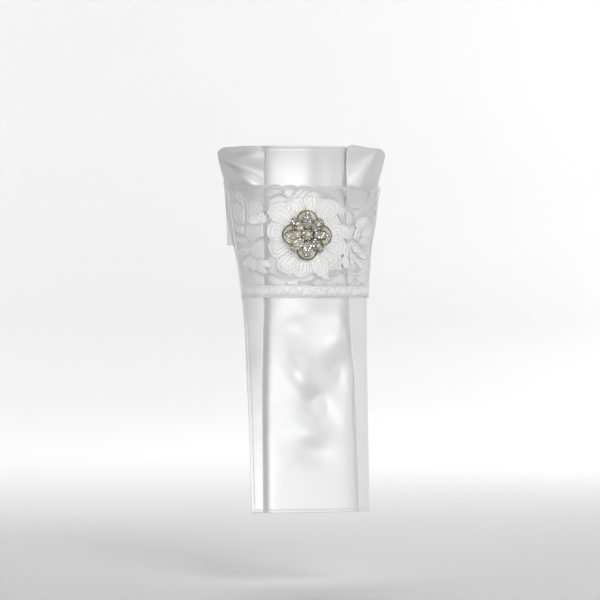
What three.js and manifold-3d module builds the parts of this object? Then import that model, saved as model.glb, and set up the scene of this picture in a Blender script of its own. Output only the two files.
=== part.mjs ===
// A ready-tied stock tie for riding: a satin plastron with an inverted pleat on a neck band, a band of lace
// across its front, and a pierced quatrefoil brooch set with cut stones.
// Millimetres, +Z up, the front faces -Y, +X is to the right as seen from the front.
// The origin is on the neck's axis at the base of the neck.

import * as THREE from "three";
import { mergeVertices } from "three/addons/utils/BufferGeometryUtils.js";
import Module from "manifold-3d";

const wasm = await Module();
wasm.setup();

// Neck band
const BAND_BOTTOM = 4;
const BAND_TOP = 64;
const BAND_HALF_WIDTH = 62.5;
const BAND_TOP_FLARE = 3.5;
const BAND_FRONT_DEPTH = 62.1;
const BAND_BACK_DEPTH = 58;
const BAND_FRONT_ROUNDNESS = 2.5;
const BAND_WALL = 2;
const BAND_COLUMNS = 44;
const BAND_LEVELS = [BAND_BOTTOM, 10, 30, 48, 60, BAND_TOP];
const LAP_HALF_ANGLE = 20;
const LAP_RISE_START = 300;
const LAP_RISE_END = 334;
const LAP_STEP = 3.8;
const FASTENER_THICKNESS = 1.2;
const FASTENER_HALF_ANGLE = 17;
const FASTENER_BOTTOM = 14;
const FASTENER_TOP = 54;
const FASTENER_COLUMNS = 8;
const FASTENER_ROWS = 2;

// Plastron, which is the centre panel, the two pleats and the lace
const LACE_TOP = 56.6;
const LACE_BOTTOM = -45.7;
const HEM = -235;
const PANEL_TOP = 91.8;
const FRONT_DEPTH = 62;
const TOP_LEAN = 4;
const CHEST_SLOPE = 0.125;
const CHEST_START = 20;
const CHEST_BLEND = 18;
const SIDE_SPAN = 70;
const SIDE_CURVE = 22;
const SIDE_CURVE_AT_HEM = 9;
const GAP = 0.3;

// Layers of the plastron, as lifts towards the wearer's front
const PANEL_WALL = 1.2;
const PANEL_CROWN = 1.5;
const PANEL_UNDER_PLEAT = 9;
const PANEL_COLUMNS = 12;
const BIB_SWELL = 3;
const BIB_SWELL_BLEND = 12;
const PLEAT_BACK = PANEL_WALL + GAP;
const PLEAT_WALL = 1.8;
const PLEAT_LOFT = 2.5;
const LACE_BACK = PLEAT_BACK + PLEAT_WALL + 0.5;
const LACE_WALL = 1;
const EDGE_SHARE = 0.4;
const SCALLOPS = 10;
const SCALLOP_SHIFT = 0.4;
const SCALLOP_DEPTH = 1.3;
const COLUMNS_PER_SCALLOP = 5;
const LACE_ROWS = 6;

// Brooch
const BROOCH_HEIGHT = 11.25;
const BROOCH_TILT = 4.5;
const BROOCH_ROLL = 1.5;
const BROOCH_CLEARANCE = 1.1;
const BROOCH_REACH = 22.2;
const BROOCH_DOME = 3.2;
const LOBE_CENTRE = 13.2;
const LOBE_RADIUS = 9;
const WAIST_RADIUS = 16.8;
const OUTLINE_STEPS = 56;
const LEAF_STEPS = 7;
const WIRE_WIDTH = 1.4;
const WIRE_HEIGHT = 1.6;
const PLATE_BOTTOM = 0.2;
const PLATE_TOP = 1;
const RIM_WIDTH = 0.8;
const RIM_BOTTOM = 0.1;
const RIM_TOP = 1.7;
const BOSS_RADIUS = 5.4;
const BOSS_TOP = 1.3;
const BOSS_SIDES = 24;
const STONE_SIDES = 8;
const STONE_CROWN = 0.6;
const STONE_TABLE = 0.58;
const STONE_BACK = 0.7;
const STONE_GIRDLE_BOTTOM = 0.35;
const STONE_GIRDLE_TOP = 0.5;
const SET_STONE_SUNK = 0.1;
const SET_STONE_GIRDLE = 0.3;
const PIN_REACH = 14;
const PIN_FOOT = 1.6;
const PIN_WIDTH = 1.6;
const PIN_TOP = 0.8;

// Half widths of the plastron at heights down its length: where the pleats' folds face each other, and the
// outer edges of the satin and of the lace, whose left edge lies a little further in.
const OUTLINE = [
  { height: -235, fold: 43, satin: 53, laceLeft: 54, laceRight: 54 },
  { height: -120, fold: 41.5, satin: 54.5, laceLeft: 56, laceRight: 56 },
  { height: -46, fold: 38.5, satin: 57, laceLeft: 57.8, laceRight: 58.5 },
  { height: 0, fold: 37.4, satin: 63, laceLeft: 62.6, laceRight: 63 },
  { height: 27, fold: 37.4, satin: 68.6, laceLeft: 65.6, laceRight: 67.6 },
  { height: 41, fold: 37.4, satin: 69.8, laceLeft: 67.4, laceRight: 70.3 },
  { height: 57, fold: 37.4, satin: 70.2, laceLeft: 69.8, laceRight: 71.4 },
  { height: 70, fold: 37.4, satin: 73.6, laceLeft: 72, laceRight: 73 },
  { height: 86.4, fold: 37.4, satin: 77.5, laceLeft: 78, laceRight: 78 },
  { height: 94, fold: 37.4, satin: 78.2, laceLeft: 79, laceRight: 79 },
];

// Top edge of each wing, by share of the way from the fold to the outer edge
const LEFT_WING_TOP = [
  { share: 0, height: 84 },
  { share: 0.03, height: 87 },
  { share: 0.12, height: 90.9 },
  { share: 0.25, height: 91.8 },
  { share: 0.6, height: 91.2 },
  { share: 0.92, height: 89.6 },
  { share: 1, height: 86.4 },
];
const RIGHT_WING_TOP = [
  { share: 0, height: 86.9 },
  { share: 0.03, height: 90.3 },
  { share: 0.12, height: 93.6 },
  { share: 0.3, height: 92.8 },
  { share: 0.6, height: 91.2 },
  { share: 0.9, height: 90.1 },
  { share: 1, height: 86.2 },
];

// Where the grids of the centre panel and of the pleats have their rows and columns. A pleat's levels run
// from its hem to its top edge, and its shares from its fold to its outer edge.
const PANEL_HEIGHTS = [
  { from: HEM, to: -170, steps: 5 },
  { from: -158, to: -58, steps: 10 },
  { from: -45, to: 55, steps: 6 },
  { from: 67, to: PANEL_TOP, steps: 2 },
];
const PLEAT_LEVELS = [
  { from: 0, to: 0.48, steps: 7 },
  { from: 0.55, to: 0.83, steps: 6 },
  { from: 0.86, to: 1, steps: 7 },
];
const PLEAT_SHARES = [
  { from: 0, to: 0.03, steps: 1 },
  { from: 0.12, to: 0.84, steps: 6 },
  { from: 0.95, to: 1, steps: 1 },
];

// Drag folds of the wings: each fans out from a point beyond the fold line and above the lace. Angles are in
// degrees below the way to the centre, and depth is the folds' depth at FAN_RADIUS from that point.
const DRAG_FOLDS = {
  left: { across: 56, above: 32, ridge: 40, period: 29, depth: 3.8 },
  right: { across: 25, above: 34, ridge: 63, period: 43, depth: 4 },
};
const FAN_RADIUS = 50;
const DRAG_FADE_LOW = 38;
const DRAG_FADE_HIGH = 62;

// Soft dents and swells of the satin below the lace
const DENTS = [
  { across: 27, height: -86, halfWidth: 11, halfHeight: 22, lean: 12, depth: 2.6 },
  { across: 1, height: -127, halfWidth: 10, halfHeight: 20, lean: -26, depth: 2.8 },
  { across: -12, height: -70, halfWidth: 9, halfHeight: 9, lean: 0, depth: 0.9 },
  { across: -34, height: -112, halfWidth: 12, halfHeight: 28, lean: -14, depth: 1.8 },
  { across: 4, height: -178, halfWidth: 16, halfHeight: 12, lean: 20, depth: 1.8 },
];

// Stones of one main leaf and one diagonal leaf, along and across the leaf from the brooch's centre
const MAIN_LEAF_STONES = [
  { along: 7.6, across: 0, radius: 1.15 },
  { along: 10.7, across: 1.9, radius: 1.35 },
  { along: 10.7, across: -1.9, radius: 1.35 },
  { along: 14, across: 2.2, radius: 1.35 },
  { along: 14, across: -2.2, radius: 1.35 },
  { along: 16.8, across: 0, radius: 1.3 },
  { along: 19.3, across: 0, radius: 0.9 },
];
const DIAGONAL_LEAF_STONES = [
  { along: 7.3, across: 0, radius: 1.1 },
  { along: 9.8, across: 1.6, radius: 1.2 },
  { along: 9.8, across: -1.6, radius: 1.2 },
  { along: 13.2, across: 3.6, radius: 1.1 },
  { along: 13.2, across: -3.6, radius: 1.1 },
  { along: 16.4, across: 2.7, radius: 1.2 },
  { along: 16.4, across: -2.7, radius: 1.2 },
  { along: 18, across: 0, radius: 1.2 },
];
const CENTRE_RING = { count: 8, ring: 3.9, radius: 1.05 };
const CENTRE_STONE_RADIUS = 2.4;
const CORNER_STONE = { along: 13.4, radius: 1.95 };
const MAIN_LEAF = { start: 4, end: 21, halfWidth: 4.7, bulge: 0.9, fullness: 0.8 };
const DIAGONAL_LEAF = { start: 4, end: 20.2, halfWidth: 5.2, bulge: 1.3, fullness: 0.6 };

const SATIN = new THREE.MeshStandardMaterial({ color: 0xf2f2f4, roughness: 0.36, metalness: 0 });
const LACE = new THREE.MeshStandardMaterial({ color: 0xf4f3f2, roughness: 0.85, metalness: 0 });
const FASTENER = new THREE.MeshStandardMaterial({ color: 0xe6e6e6, roughness: 0.95, metalness: 0 });
const METAL = new THREE.MeshStandardMaterial({ color: 0xc9c2a2, roughness: 0.25, metalness: 1 });
const CRYSTAL = new THREE.MeshStandardMaterial({ color: 0xf4f6fa, roughness: 0.03, metalness: 0 });

const radians = THREE.MathUtils.degToRad;
const smoothstep = THREE.MathUtils.smoothstep;

// Numbers and curves

// A smooth curve through a table's rows: the value of column out where column into is at
function smoothLookUp(rows, into, out, at) {
  const last = rows.length - 1;
  let i = rows.findIndex((row) => row[into] > at) - 1;
  if (at <= rows[0][into]) i = 0;
  if (at >= rows[last][into]) i = last - 1;
  const slope = (a, b) => (rows[b][out] - rows[a][out]) / (rows[b][into] - rows[a][into]);
  const here = slope(i, i + 1);
  const before = i > 0 ? slope(i - 1, i) : here;
  const after = i < last - 1 ? slope(i + 1, i + 2) : here;
  const step = rows[i + 1][into] - rows[i][into];
  const t = THREE.MathUtils.clamp((at - rows[i][into]) / step, 0, 1);
  const startSlope = before * here > 0 ? (before + here) / 2 : 0;
  const endSlope = after * here > 0 ? (after + here) / 2 : 0;
  const rise = rows[i + 1][out] - rows[i][out];
  const cubic = t * t * (3 - 2 * t) * rise;
  return rows[i][out] + cubic + step * t * (1 - t) * ((1 - t) * startSlope - t * endSlope);
}

function evenly(from, to, steps) {
  return Array.from({ length: steps + 1 }, (_, i) => from + ((to - from) * i) / steps);
}

// All the values of a table of even stretches
function stretches(rows) {
  return rows.flatMap((row) => evenly(row.from, row.to, row.steps));
}

// Solids

// A closed sheet between two grids of points, front(i, j) and back(i, j), with walls along its four edges
function sheetSolid(columns, rows, front, back) {
  const positions = [];
  for (const side of [front, back]) {
    for (let j = 0; j <= rows; j++) {
      for (let i = 0; i <= columns; i++) positions.push(...side(i, j).toArray());
    }
  }
  const at = (layer, i, j) => layer * (columns + 1) * (rows + 1) + j * (columns + 1) + i;
  const index = [];
  const quad = (a, b, c, d) => index.push(a, b, c, a, c, d);
  for (let j = 0; j < rows; j++) {
    for (let i = 0; i < columns; i++) {
      quad(at(0, i, j), at(0, i + 1, j), at(0, i + 1, j + 1), at(0, i, j + 1));
      quad(at(1, i, j), at(1, i, j + 1), at(1, i + 1, j + 1), at(1, i + 1, j));
    }
    quad(at(0, 0, j), at(0, 0, j + 1), at(1, 0, j + 1), at(1, 0, j));
    quad(at(0, columns, j), at(1, columns, j), at(1, columns, j + 1), at(0, columns, j + 1));
  }
  for (let i = 0; i < columns; i++) {
    quad(at(0, i, 0), at(1, i, 0), at(1, i + 1, 0), at(0, i + 1, 0));
    quad(at(0, i, rows), at(0, i + 1, rows), at(1, i + 1, rows), at(1, i, rows));
  }
  return facingOut(positions, index);
}

// A closed ring of metal along a closed plane outline, narrower at its top
function wireLoop(outline, width, bottom, top) {
  const count = outline.length;
  const section = [
    [-width / 2, bottom],
    [width / 2, bottom],
    [width / 4, top],
    [-width / 4, top],
  ];
  const positions = [];
  outline.forEach((point, i) => {
    const before = outline[(i + count - 1) % count];
    const after = outline[(i + 1) % count];
    const along = new THREE.Vector2().subVectors(after, before).normalize();
    for (const [side, height] of section) {
      positions.push(point.x + along.y * side, point.y - along.x * side, height);
    }
  });
  const index = [];
  for (let i = 0; i < count; i++) {
    for (let k = 0; k < section.length; k++) {
      const next = (i + 1) % count;
      const k2 = (k + 1) % section.length;
      const a = i * section.length + k;
      const b = i * section.length + k2;
      const c = next * section.length + k2;
      const d = next * section.length + k;
      index.push(a, b, c, a, c, d);
    }
  }
  return facingOut(positions, index);
}

// An indexed geometry whose faces point out, from points and triangles that close
function facingOut(positions, index) {
  const corner = (k) => new THREE.Vector3().fromArray(positions, 3 * index[k]);
  let volume = 0;
  for (let k = 0; k < index.length; k += 3) {
    volume += corner(k).dot(corner(k + 1).cross(corner(k + 2)));
  }
  const turned = volume < 0 ? index.slice().reverse() : index;
  const geometry = new THREE.BufferGeometry();
  geometry.setAttribute("position", new THREE.Float32BufferAttribute(positions, 3));
  geometry.setIndex(turned);
  geometry.computeVertexNormals();
  return geometry;
}

function toManifold(geometry) {
  const bare = geometry.clone();
  bare.deleteAttribute("normal");
  bare.deleteAttribute("uv");
  const merged = mergeVertices(bare, 1e-4);
  const vertProperties = new Float32Array(merged.attributes.position.array);
  const triVerts = new Uint32Array(merged.index.array);
  return new wasm.Manifold(new wasm.Mesh({ numProp: 3, vertProperties, triVerts }));
}

function fromManifold(solid) {
  const mesh = solid.getMesh();
  const geometry = new THREE.BufferGeometry();
  geometry.setAttribute("position", new THREE.Float32BufferAttribute(mesh.vertProperties, 3));
  geometry.setIndex(new THREE.Uint32BufferAttribute(mesh.triVerts, 1));
  geometry.computeVertexNormals();
  return geometry;
}

function named(name, geometry, material) {
  const mesh = new THREE.Mesh(geometry, material);
  mesh.name = name;
  return mesh;
}

// Neck band

function bandOutline(degrees, height) {
  const share = (height - BAND_BOTTOM) / (BAND_TOP - BAND_BOTTOM);
  const halfWidth = BAND_HALF_WIDTH + BAND_TOP_FLARE * share * share;
  const sine = Math.sin(radians(degrees));
  const cosine = Math.cos(radians(degrees));
  const isFront = cosine < 0;
  const power = isFront ? 2 / BAND_FRONT_ROUNDNESS : 1;
  const depth = isFront ? BAND_FRONT_DEPTH : BAND_BACK_DEPTH;
  return new THREE.Vector2(
    halfWidth * Math.sign(sine) * Math.abs(sine) ** power,
    depth * Math.sign(cosine) * Math.abs(cosine) ** power,
  );
}

// A point off the band's outline: degrees run from the back centre by way of the wearer's left side
function bandPoint(degrees, height, offset) {
  const along = bandOutline(degrees + 0.5, height).sub(bandOutline(degrees - 0.5, height)).normalize();
  const point = bandOutline(degrees, height);
  return new THREE.Vector3(point.x - along.y * offset, point.y + along.x * offset, height);
}

// The band is one strip whose outer end laps over its inner end at the back
function neckBand() {
  const rows = BAND_LEVELS.length - 1;
  const thin = (j) => (j === 0 || j === rows ? EDGE_SHARE : 1);
  const degreesAt = (i) => -LAP_HALF_ANGLE + ((360 + 2 * LAP_HALF_ANGLE) * i) / BAND_COLUMNS;
  const place = (i, j, side) => {
    const lap = LAP_STEP * smoothstep(degreesAt(i), LAP_RISE_START, LAP_RISE_END);
    const offset = lap - BAND_WALL / 2 + (side * thin(j) * BAND_WALL) / 2;
    return bandPoint(degreesAt(i), BAND_LEVELS[j], offset);
  };
  const front = (i, j) => place(i, j, 1);
  const back = (i, j) => place(i, j, -1);
  return sheetSolid(BAND_COLUMNS, rows, front, back);
}

// The plain fastener between the band's two ends
function bandFastener() {
  const inner = (LAP_STEP - BAND_WALL - FASTENER_THICKNESS) / 2;
  const place = (i, j, offset) => {
    const degrees = -FASTENER_HALF_ANGLE + (2 * FASTENER_HALF_ANGLE * i) / FASTENER_COLUMNS;
    const height = FASTENER_BOTTOM + ((FASTENER_TOP - FASTENER_BOTTOM) * j) / FASTENER_ROWS;
    return bandPoint(degrees, height, offset);
  };
  const front = (i, j) => place(i, j, inner + FASTENER_THICKNESS);
  const back = (i, j) => place(i, j, inner);
  return sheetSolid(FASTENER_COLUMNS, FASTENER_ROWS, front, back);
}

// Plastron

// How far forward the plastron's back lies on its centre line
function frontLine(height) {
  const below = (CHEST_START - height) / CHEST_BLEND;
  const chest = CHEST_SLOPE * CHEST_BLEND * Math.log1p(Math.exp(below));
  const lean = Math.max(0, (height - LACE_TOP) / (PANEL_TOP - LACE_TOP));
  return FRONT_DEPTH + chest + TOP_LEAN * lean * lean;
}

function plastronPoint(across, height, lift) {
  const low = smoothstep(-height, 0, -HEM);
  const curve = THREE.MathUtils.lerp(SIDE_CURVE, SIDE_CURVE_AT_HEM, low);
  const back = curve * (across / SIDE_SPAN) ** 2;
  return new THREE.Vector3(across, back - frontLine(height) - lift, height);
}

function dentDepth(across, height) {
  return DENTS.reduce((sum, dent) => {
    const turn = radians(dent.lean);
    const x = across - dent.across;
    const z = height - dent.height;
    const u = (x * Math.cos(turn) - z * Math.sin(turn)) / dent.halfWidth;
    const v = (x * Math.sin(turn) + z * Math.cos(turn)) / dent.halfHeight;
    return sum + dent.depth * Math.exp(-(u * u + v * v));
  }, 0);
}

// How far forward the crests of a wing's drag folds stand, and the folds themselves
function crestLift(across, height) {
  const fold = across < 0 ? DRAG_FOLDS.left : DRAG_FOLDS.right;
  const reach = Math.min(1, Math.hypot(...fromFan(fold, across, height)) / FAN_RADIUS);
  const fade = smoothstep(height, DRAG_FADE_LOW, DRAG_FADE_HIGH);
  return fade * fold.depth * reach;
}

function wingLift(across, height) {
  const fold = across < 0 ? DRAG_FOLDS.left : DRAG_FOLDS.right;
  const [inward, down] = fromFan(fold, across, height);
  const angle = THREE.MathUtils.radToDeg(Math.atan2(down, inward));
  const wave = (1 + Math.cos(radians((360 * (angle - fold.ridge)) / fold.period))) / 2;
  const rise = Math.max(0, (height - LACE_TOP) / (PANEL_TOP - LACE_TOP));
  return crestLift(across, height) * wave + PLEAT_LOFT * rise;
}

// How far towards the centre and down from the point where a wing's folds fan out
function fromFan(fold, across, height) {
  const foldLine = smoothLookUp(OUTLINE, "height", "fold", height);
  const out = Math.max(0, Math.abs(across) - foldLine);
  return [fold.across - out, fold.above - (height - LACE_TOP)];
}

function centrePanel() {
  const heights = stretches(PANEL_HEIGHTS);
  const place = (i, j, lift) => {
    const height = heights[j];
    const foldLine = smoothLookUp(OUTLINE, "height", "fold", height);
    const across = (foldLine + PANEL_UNDER_PLEAT) * ((2 * i) / PANEL_COLUMNS - 1);
    const inside = Math.max(0, 1 - (across / foldLine) ** 2);
    const below = 1 - smoothstep(height, LACE_BOTTOM - BIB_SWELL_BLEND, LACE_BOTTOM);
    const swell = inside * (PANEL_CROWN + below * (BIB_SWELL - dentDepth(across, height)));
    return plastronPoint(across, height, lift + Math.max(0, swell));
  };
  const front = (i, j) => place(i, j, PANEL_WALL);
  const back = (i, j) => place(i, j, 0);
  return sheetSolid(PANEL_COLUMNS, heights.length - 1, front, back);
}

// A doubled strip of satin whose fold faces the centre; its top is the wing that stands above the lace
function pleat(side, topEdge) {
  const shares = stretches(PLEAT_SHARES);
  const levels = stretches(PLEAT_LEVELS);
  const columns = shares.length - 1;
  const rows = levels.length - 1;
  const onEdge = (i, j) => i === 0 || i === columns || j === 0 || j === rows;
  const place = (i, j, face) => {
    const top = smoothLookUp(topEdge, "share", "height", shares[i]);
    const height = HEM + (top - HEM) * levels[j];
    const fold = smoothLookUp(OUTLINE, "height", "fold", height);
    const outer = smoothLookUp(OUTLINE, "height", "satin", height);
    const across = side * (fold + (outer - fold) * shares[i]);
    const thickness = PLEAT_WALL * (onEdge(i, j) ? EDGE_SHARE : 1);
    const middle = PLEAT_BACK + PLEAT_WALL / 2 + wingLift(across, height);
    return plastronPoint(across, height, middle + (face * thickness) / 2);
  };
  const front = (i, j) => place(i, j, 1);
  const back = (i, j) => place(i, j, -1);
  return sheetSolid(columns, rows, front, back);
}

// The lace lies across both pleats and the centre panel, scalloped along its top and bottom
function laceBand() {
  const columns = SCALLOPS * COLUMNS_PER_SCALLOP;
  const place = (i, j, lift) => {
    const share = (2 * i) / columns - 1;
    const wave = Math.sin(Math.PI * ((SCALLOPS * share) / 2 - SCALLOP_SHIFT));
    const scallop = SCALLOP_DEPTH * Math.abs(wave);
    const top = LACE_TOP - SCALLOP_DEPTH + scallop;
    const bottom = LACE_BOTTOM + SCALLOP_DEPTH - scallop;
    const height = bottom + ((top - bottom) * j) / LACE_ROWS;
    const across = share * smoothLookUp(OUTLINE, "height", share < 0 ? "laceLeft" : "laceRight", height);
    const foldLine = smoothLookUp(OUTLINE, "height", "fold", height);
    const overPleat = smoothstep(Math.abs(across), 0, foldLine);
    return plastronPoint(across, height, LACE_BACK + overPleat * crestLift(across, height) + lift);
  };
  const front = (i, j) => place(i, j, LACE_WALL);
  const back = (i, j) => place(i, j, 0);
  return sheetSolid(columns, LACE_ROWS, front, back);
}

// Brooch, drawn flat with its face up, then domed

// Radius of the outer wire by the angle from the nearest main axis
function quatrefoilRadius(turn) {
  const quarter = Math.PI / 2;
  const off = turn - quarter * Math.round(turn / quarter);
  const root = LOBE_RADIUS ** 2 - (LOBE_CENTRE * Math.sin(off)) ** 2;
  const lobe = LOBE_CENTRE * Math.cos(off) + Math.sqrt(Math.max(0, root));
  return Math.max(lobe, WAIST_RADIUS);
}

function quatrefoil() {
  return evenly(0, 2 * Math.PI, OUTLINE_STEPS).slice(1).map((turn) => {
    const radius = quatrefoilRadius(turn);
    return new THREE.Vector2(radius * Math.cos(turn), radius * Math.sin(turn));
  });
}

// A pointed leaf whose axis leaves the brooch's centre at the angle turn
function leafOutline(leaf, turn, inset) {
  const start = leaf.start + inset;
  const end = leaf.end - inset;
  const edge = evenly(0, 1, LEAF_STEPS).map((t) => {
    const along = start + (end - start) * t;
    const width = (leaf.halfWidth - inset) * Math.sin(Math.PI * t ** leaf.bulge) ** leaf.fullness;
    return new THREE.Vector2(along, t === 1 ? 0 : width);
  });
  const lower = edge.slice(1, LEAF_STEPS).reverse().map((point) => new THREE.Vector2(point.x, -point.y));
  return [...edge, ...lower].map((point) => point.rotateAround(new THREE.Vector2(), turn));
}

function flatPlate(outline, bottom, top) {
  const settings = { depth: top - bottom, bevelEnabled: false };
  return new THREE.ExtrudeGeometry(new THREE.Shape(outline), settings).translate(0, 0, bottom);
}

// A cut stone's crown: eight facets and a table
function stoneCrown(radius) {
  const height = radius * STONE_CROWN + SET_STONE_GIRDLE;
  const crown = new THREE.CylinderGeometry(radius * STONE_TABLE, radius, height, STONE_SIDES);
  return crown.rotateX(Math.PI / 2).translate(0, 0, height / 2);
}

// A whole stone with a short girdle and a small flat back
function looseStone(radius) {
  const profile = [
    new THREE.Vector2(0, 0),
    new THREE.Vector2(radius * STONE_BACK, 0),
    new THREE.Vector2(radius, radius * STONE_GIRDLE_BOTTOM),
    new THREE.Vector2(radius, radius * STONE_GIRDLE_TOP),
    new THREE.Vector2(radius * STONE_TABLE, radius * (STONE_GIRDLE_TOP + STONE_CROWN)),
    new THREE.Vector2(0, radius * (STONE_GIRDLE_TOP + STONE_CROWN)),
  ];
  return new THREE.LatheGeometry(profile, STONE_SIDES).rotateX(Math.PI / 2);
}

function leafPoint(along, across, turn) {
  return new THREE.Vector2(along, across).rotateAround(new THREE.Vector2(), turn);
}

function domeRise(x, y) {
  return BROOCH_DOME * (1 - (x * x + y * y) / BROOCH_REACH ** 2);
}

function domed(geometry) {
  const position = geometry.attributes.position;
  for (let i = 0; i < position.count; i++) {
    position.setZ(i, position.getZ(i) + domeRise(position.getX(i), position.getY(i)));
  }
  geometry.computeVertexNormals();
  return geometry;
}

// The pierced setting with its smaller stones: the outer wire, eight leaves with rims, and the centre boss
function broochSetting() {
  const pieces = [wireLoop(quatrefoil(), WIRE_WIDTH, 0, WIRE_HEIGHT)];
  const addStone = (along, across, radius, turn) => {
    const point = leafPoint(along, across, turn);
    pieces.push(stoneCrown(radius).translate(point.x, point.y, PLATE_TOP - SET_STONE_SUNK));
  };
  const addLeaf = (leaf, stones, turn) => {
    const outline = leafOutline(leaf, turn, RIM_WIDTH / 2);
    pieces.push(flatPlate(outline, PLATE_BOTTOM, PLATE_TOP));
    pieces.push(wireLoop(outline, RIM_WIDTH, RIM_BOTTOM, RIM_TOP));
    stones.forEach((stone) => addStone(stone.along, stone.across, stone.radius, turn));
  };
  for (let quarter = 0; quarter < 4; quarter++) {
    const turn = (quarter * Math.PI) / 2;
    addLeaf(MAIN_LEAF, MAIN_LEAF_STONES, turn);
    addLeaf(DIAGONAL_LEAF, DIAGONAL_LEAF_STONES, turn + Math.PI / 4);
  }
  const bossHeight = BOSS_TOP - RIM_BOTTOM;
  const boss = new THREE.CylinderGeometry(BOSS_RADIUS, BOSS_RADIUS, bossHeight, BOSS_SIDES);
  pieces.push(boss.rotateX(Math.PI / 2).translate(0, 0, RIM_BOTTOM + bossHeight / 2));
  for (let k = 0; k < CENTRE_RING.count; k++) {
    addStone(CENTRE_RING.ring, 0, CENTRE_RING.radius, (2 * Math.PI * (k + 0.5)) / CENTRE_RING.count);
  }
  return domed(fromManifold(wasm.Manifold.union(pieces.map(toManifold))));
}

// The pin is one plain piece: a bar behind the setting with a foot at each end
function broochPin() {
  const back = 2 * GAP - BROOCH_CLEARANCE;
  const front = domeRise(PIN_REACH, 0) - GAP;
  const side = new THREE.Shape([
    new THREE.Vector2(-PIN_REACH, back),
    new THREE.Vector2(PIN_REACH, back),
    new THREE.Vector2(PIN_REACH, front),
    new THREE.Vector2(PIN_REACH - PIN_FOOT, front),
    new THREE.Vector2(PIN_REACH - PIN_FOOT, PIN_TOP),
    new THREE.Vector2(PIN_FOOT - PIN_REACH, PIN_TOP),
    new THREE.Vector2(PIN_FOOT - PIN_REACH, front),
    new THREE.Vector2(-PIN_REACH, front),
  ]);
  const settings = { depth: PIN_WIDTH, bevelEnabled: false };
  return new THREE.ExtrudeGeometry(side, settings).translate(0, 0, -PIN_WIDTH / 2).rotateX(Math.PI / 2);
}

function brooch() {
  const group = new THREE.Group();
  group.position.copy(plastronPoint(0, BROOCH_HEIGHT, LACE_BACK + LACE_WALL + BROOCH_CLEARANCE));
  group.rotation.set(radians(90 - BROOCH_TILT), 0, radians(-BROOCH_ROLL));
  group.add(named("brooch_setting", broochSetting(), METAL));
  group.add(named("brooch_pin", broochPin(), METAL));
  const centre = named("brooch_centre_stone", looseStone(CENTRE_STONE_RADIUS), CRYSTAL);
  centre.position.z = domeRise(0, 0) + BOSS_TOP + GAP;
  group.add(centre);
  for (let quarter = 0; quarter < 4; quarter++) {
    const point = leafPoint(CORNER_STONE.along, 0, ((quarter + 0.5) * Math.PI) / 2);
    const stone = named(`brooch_corner_stone_${quarter + 1}`, looseStone(CORNER_STONE.radius), CRYSTAL);
    stone.position.set(point.x, point.y, domeRise(point.x, point.y) + PLATE_TOP + 2 * GAP);
    group.add(stone);
  }
  return group;
}

// The whole stock tie

const stockTie = new THREE.Group();
stockTie.add(named("neck_band", neckBand(), SATIN));
stockTie.add(named("band_fastener", bandFastener(), FASTENER));
stockTie.add(named("centre_panel", centrePanel(), SATIN));
stockTie.add(named("left_pleat", pleat(-1, LEFT_WING_TOP), SATIN));
stockTie.add(named("right_pleat", pleat(1, RIGHT_WING_TOP), SATIN));
stockTie.add(named("lace_band", laceBand(), LACE));
stockTie.add(brooch());

export default stockTie;
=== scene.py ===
# A ready-tied stock tie for riding: pleated white satin on a neck band, a band of lace and a jewelled brooch.
# Sizes are in millimetres, apart from those of the stage, the lights and the materials, which are in metres.

import math

import bmesh
import bpy
import numpy as np
from mathutils import Matrix, Vector


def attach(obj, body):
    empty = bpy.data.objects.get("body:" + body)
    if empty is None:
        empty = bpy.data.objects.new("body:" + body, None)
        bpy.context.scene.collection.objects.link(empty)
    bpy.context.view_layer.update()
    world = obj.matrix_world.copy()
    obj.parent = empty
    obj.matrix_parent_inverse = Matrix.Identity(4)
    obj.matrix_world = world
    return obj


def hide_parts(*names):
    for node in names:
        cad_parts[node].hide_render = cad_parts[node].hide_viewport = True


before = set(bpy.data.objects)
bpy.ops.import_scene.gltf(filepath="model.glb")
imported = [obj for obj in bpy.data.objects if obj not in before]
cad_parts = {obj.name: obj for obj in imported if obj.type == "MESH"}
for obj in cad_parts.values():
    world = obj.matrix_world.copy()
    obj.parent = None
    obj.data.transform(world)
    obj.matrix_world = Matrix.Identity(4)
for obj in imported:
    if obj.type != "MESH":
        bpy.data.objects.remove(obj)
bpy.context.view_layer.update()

MM = 0.001
ROOT = "root"


def table(columns, *rows):
    """A table's rows as dictionaries, under its columns' names."""
    return [dict(zip(columns.split(), row)) for row in rows]


# Neck band
BAND_BOTTOM = 4.0
BAND_TOP = 64.0
BAND_HALF_WIDTH = 62.5
BAND_TOP_FLARE = 3.5
BAND_FRONT_DEPTH = 62.1
BAND_BACK_DEPTH = 58.0
BAND_FRONT_ROUNDNESS = 2.5
BAND_WALL = 2.0
BAND_MEAN_RADIUS = 61.0
LAP_HALF_ANGLE = 20.0
LAP_RISE_START = 300.0
LAP_RISE_END = 334.0
LAP_STEP = 3.8

# Plastron
LACE_TOP = 56.6
LACE_BOTTOM = -45.7
HEM = -235.0
PANEL_TOP = 91.8
FRONT_DEPTH = 62.0
TOP_LEAN = 4.0
CHEST_SLOPE = 0.125
CHEST_START = 20.0
CHEST_BLEND = 18.0
SIDE_SPAN = 70.0
SIDE_CURVE = 22.0
SIDE_CURVE_AT_HEM = 9.0
PANEL_WALL = 1.2
PANEL_CROWN = 1.5
PANEL_UNDER_PLEAT = 9.0
BIB_SWELL = 1.0
BIB_SWELL_TOP = -25.0
BIB_SWELL_FULL = -85.0
BIB_FLATNESS = 0.35
PANEL_ROLL = 14
PLEAT_BACK = 1.5
PLEAT_WALL = 1.8
PLEAT_LOFT = 2.5
PLEAT_WIDTH = 40.0
PLEAT_LENGTH = 325.0
LACE_BACK = 3.8
LACE_WALL = 1.0
SCALLOPS = 10
SCALLOP_SHIFT = 0.4
SCALLOP_LAST = 0.85
SCALLOP_DEPTH = 1.9
DRAG_FADE_LOW = 38.0
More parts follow.
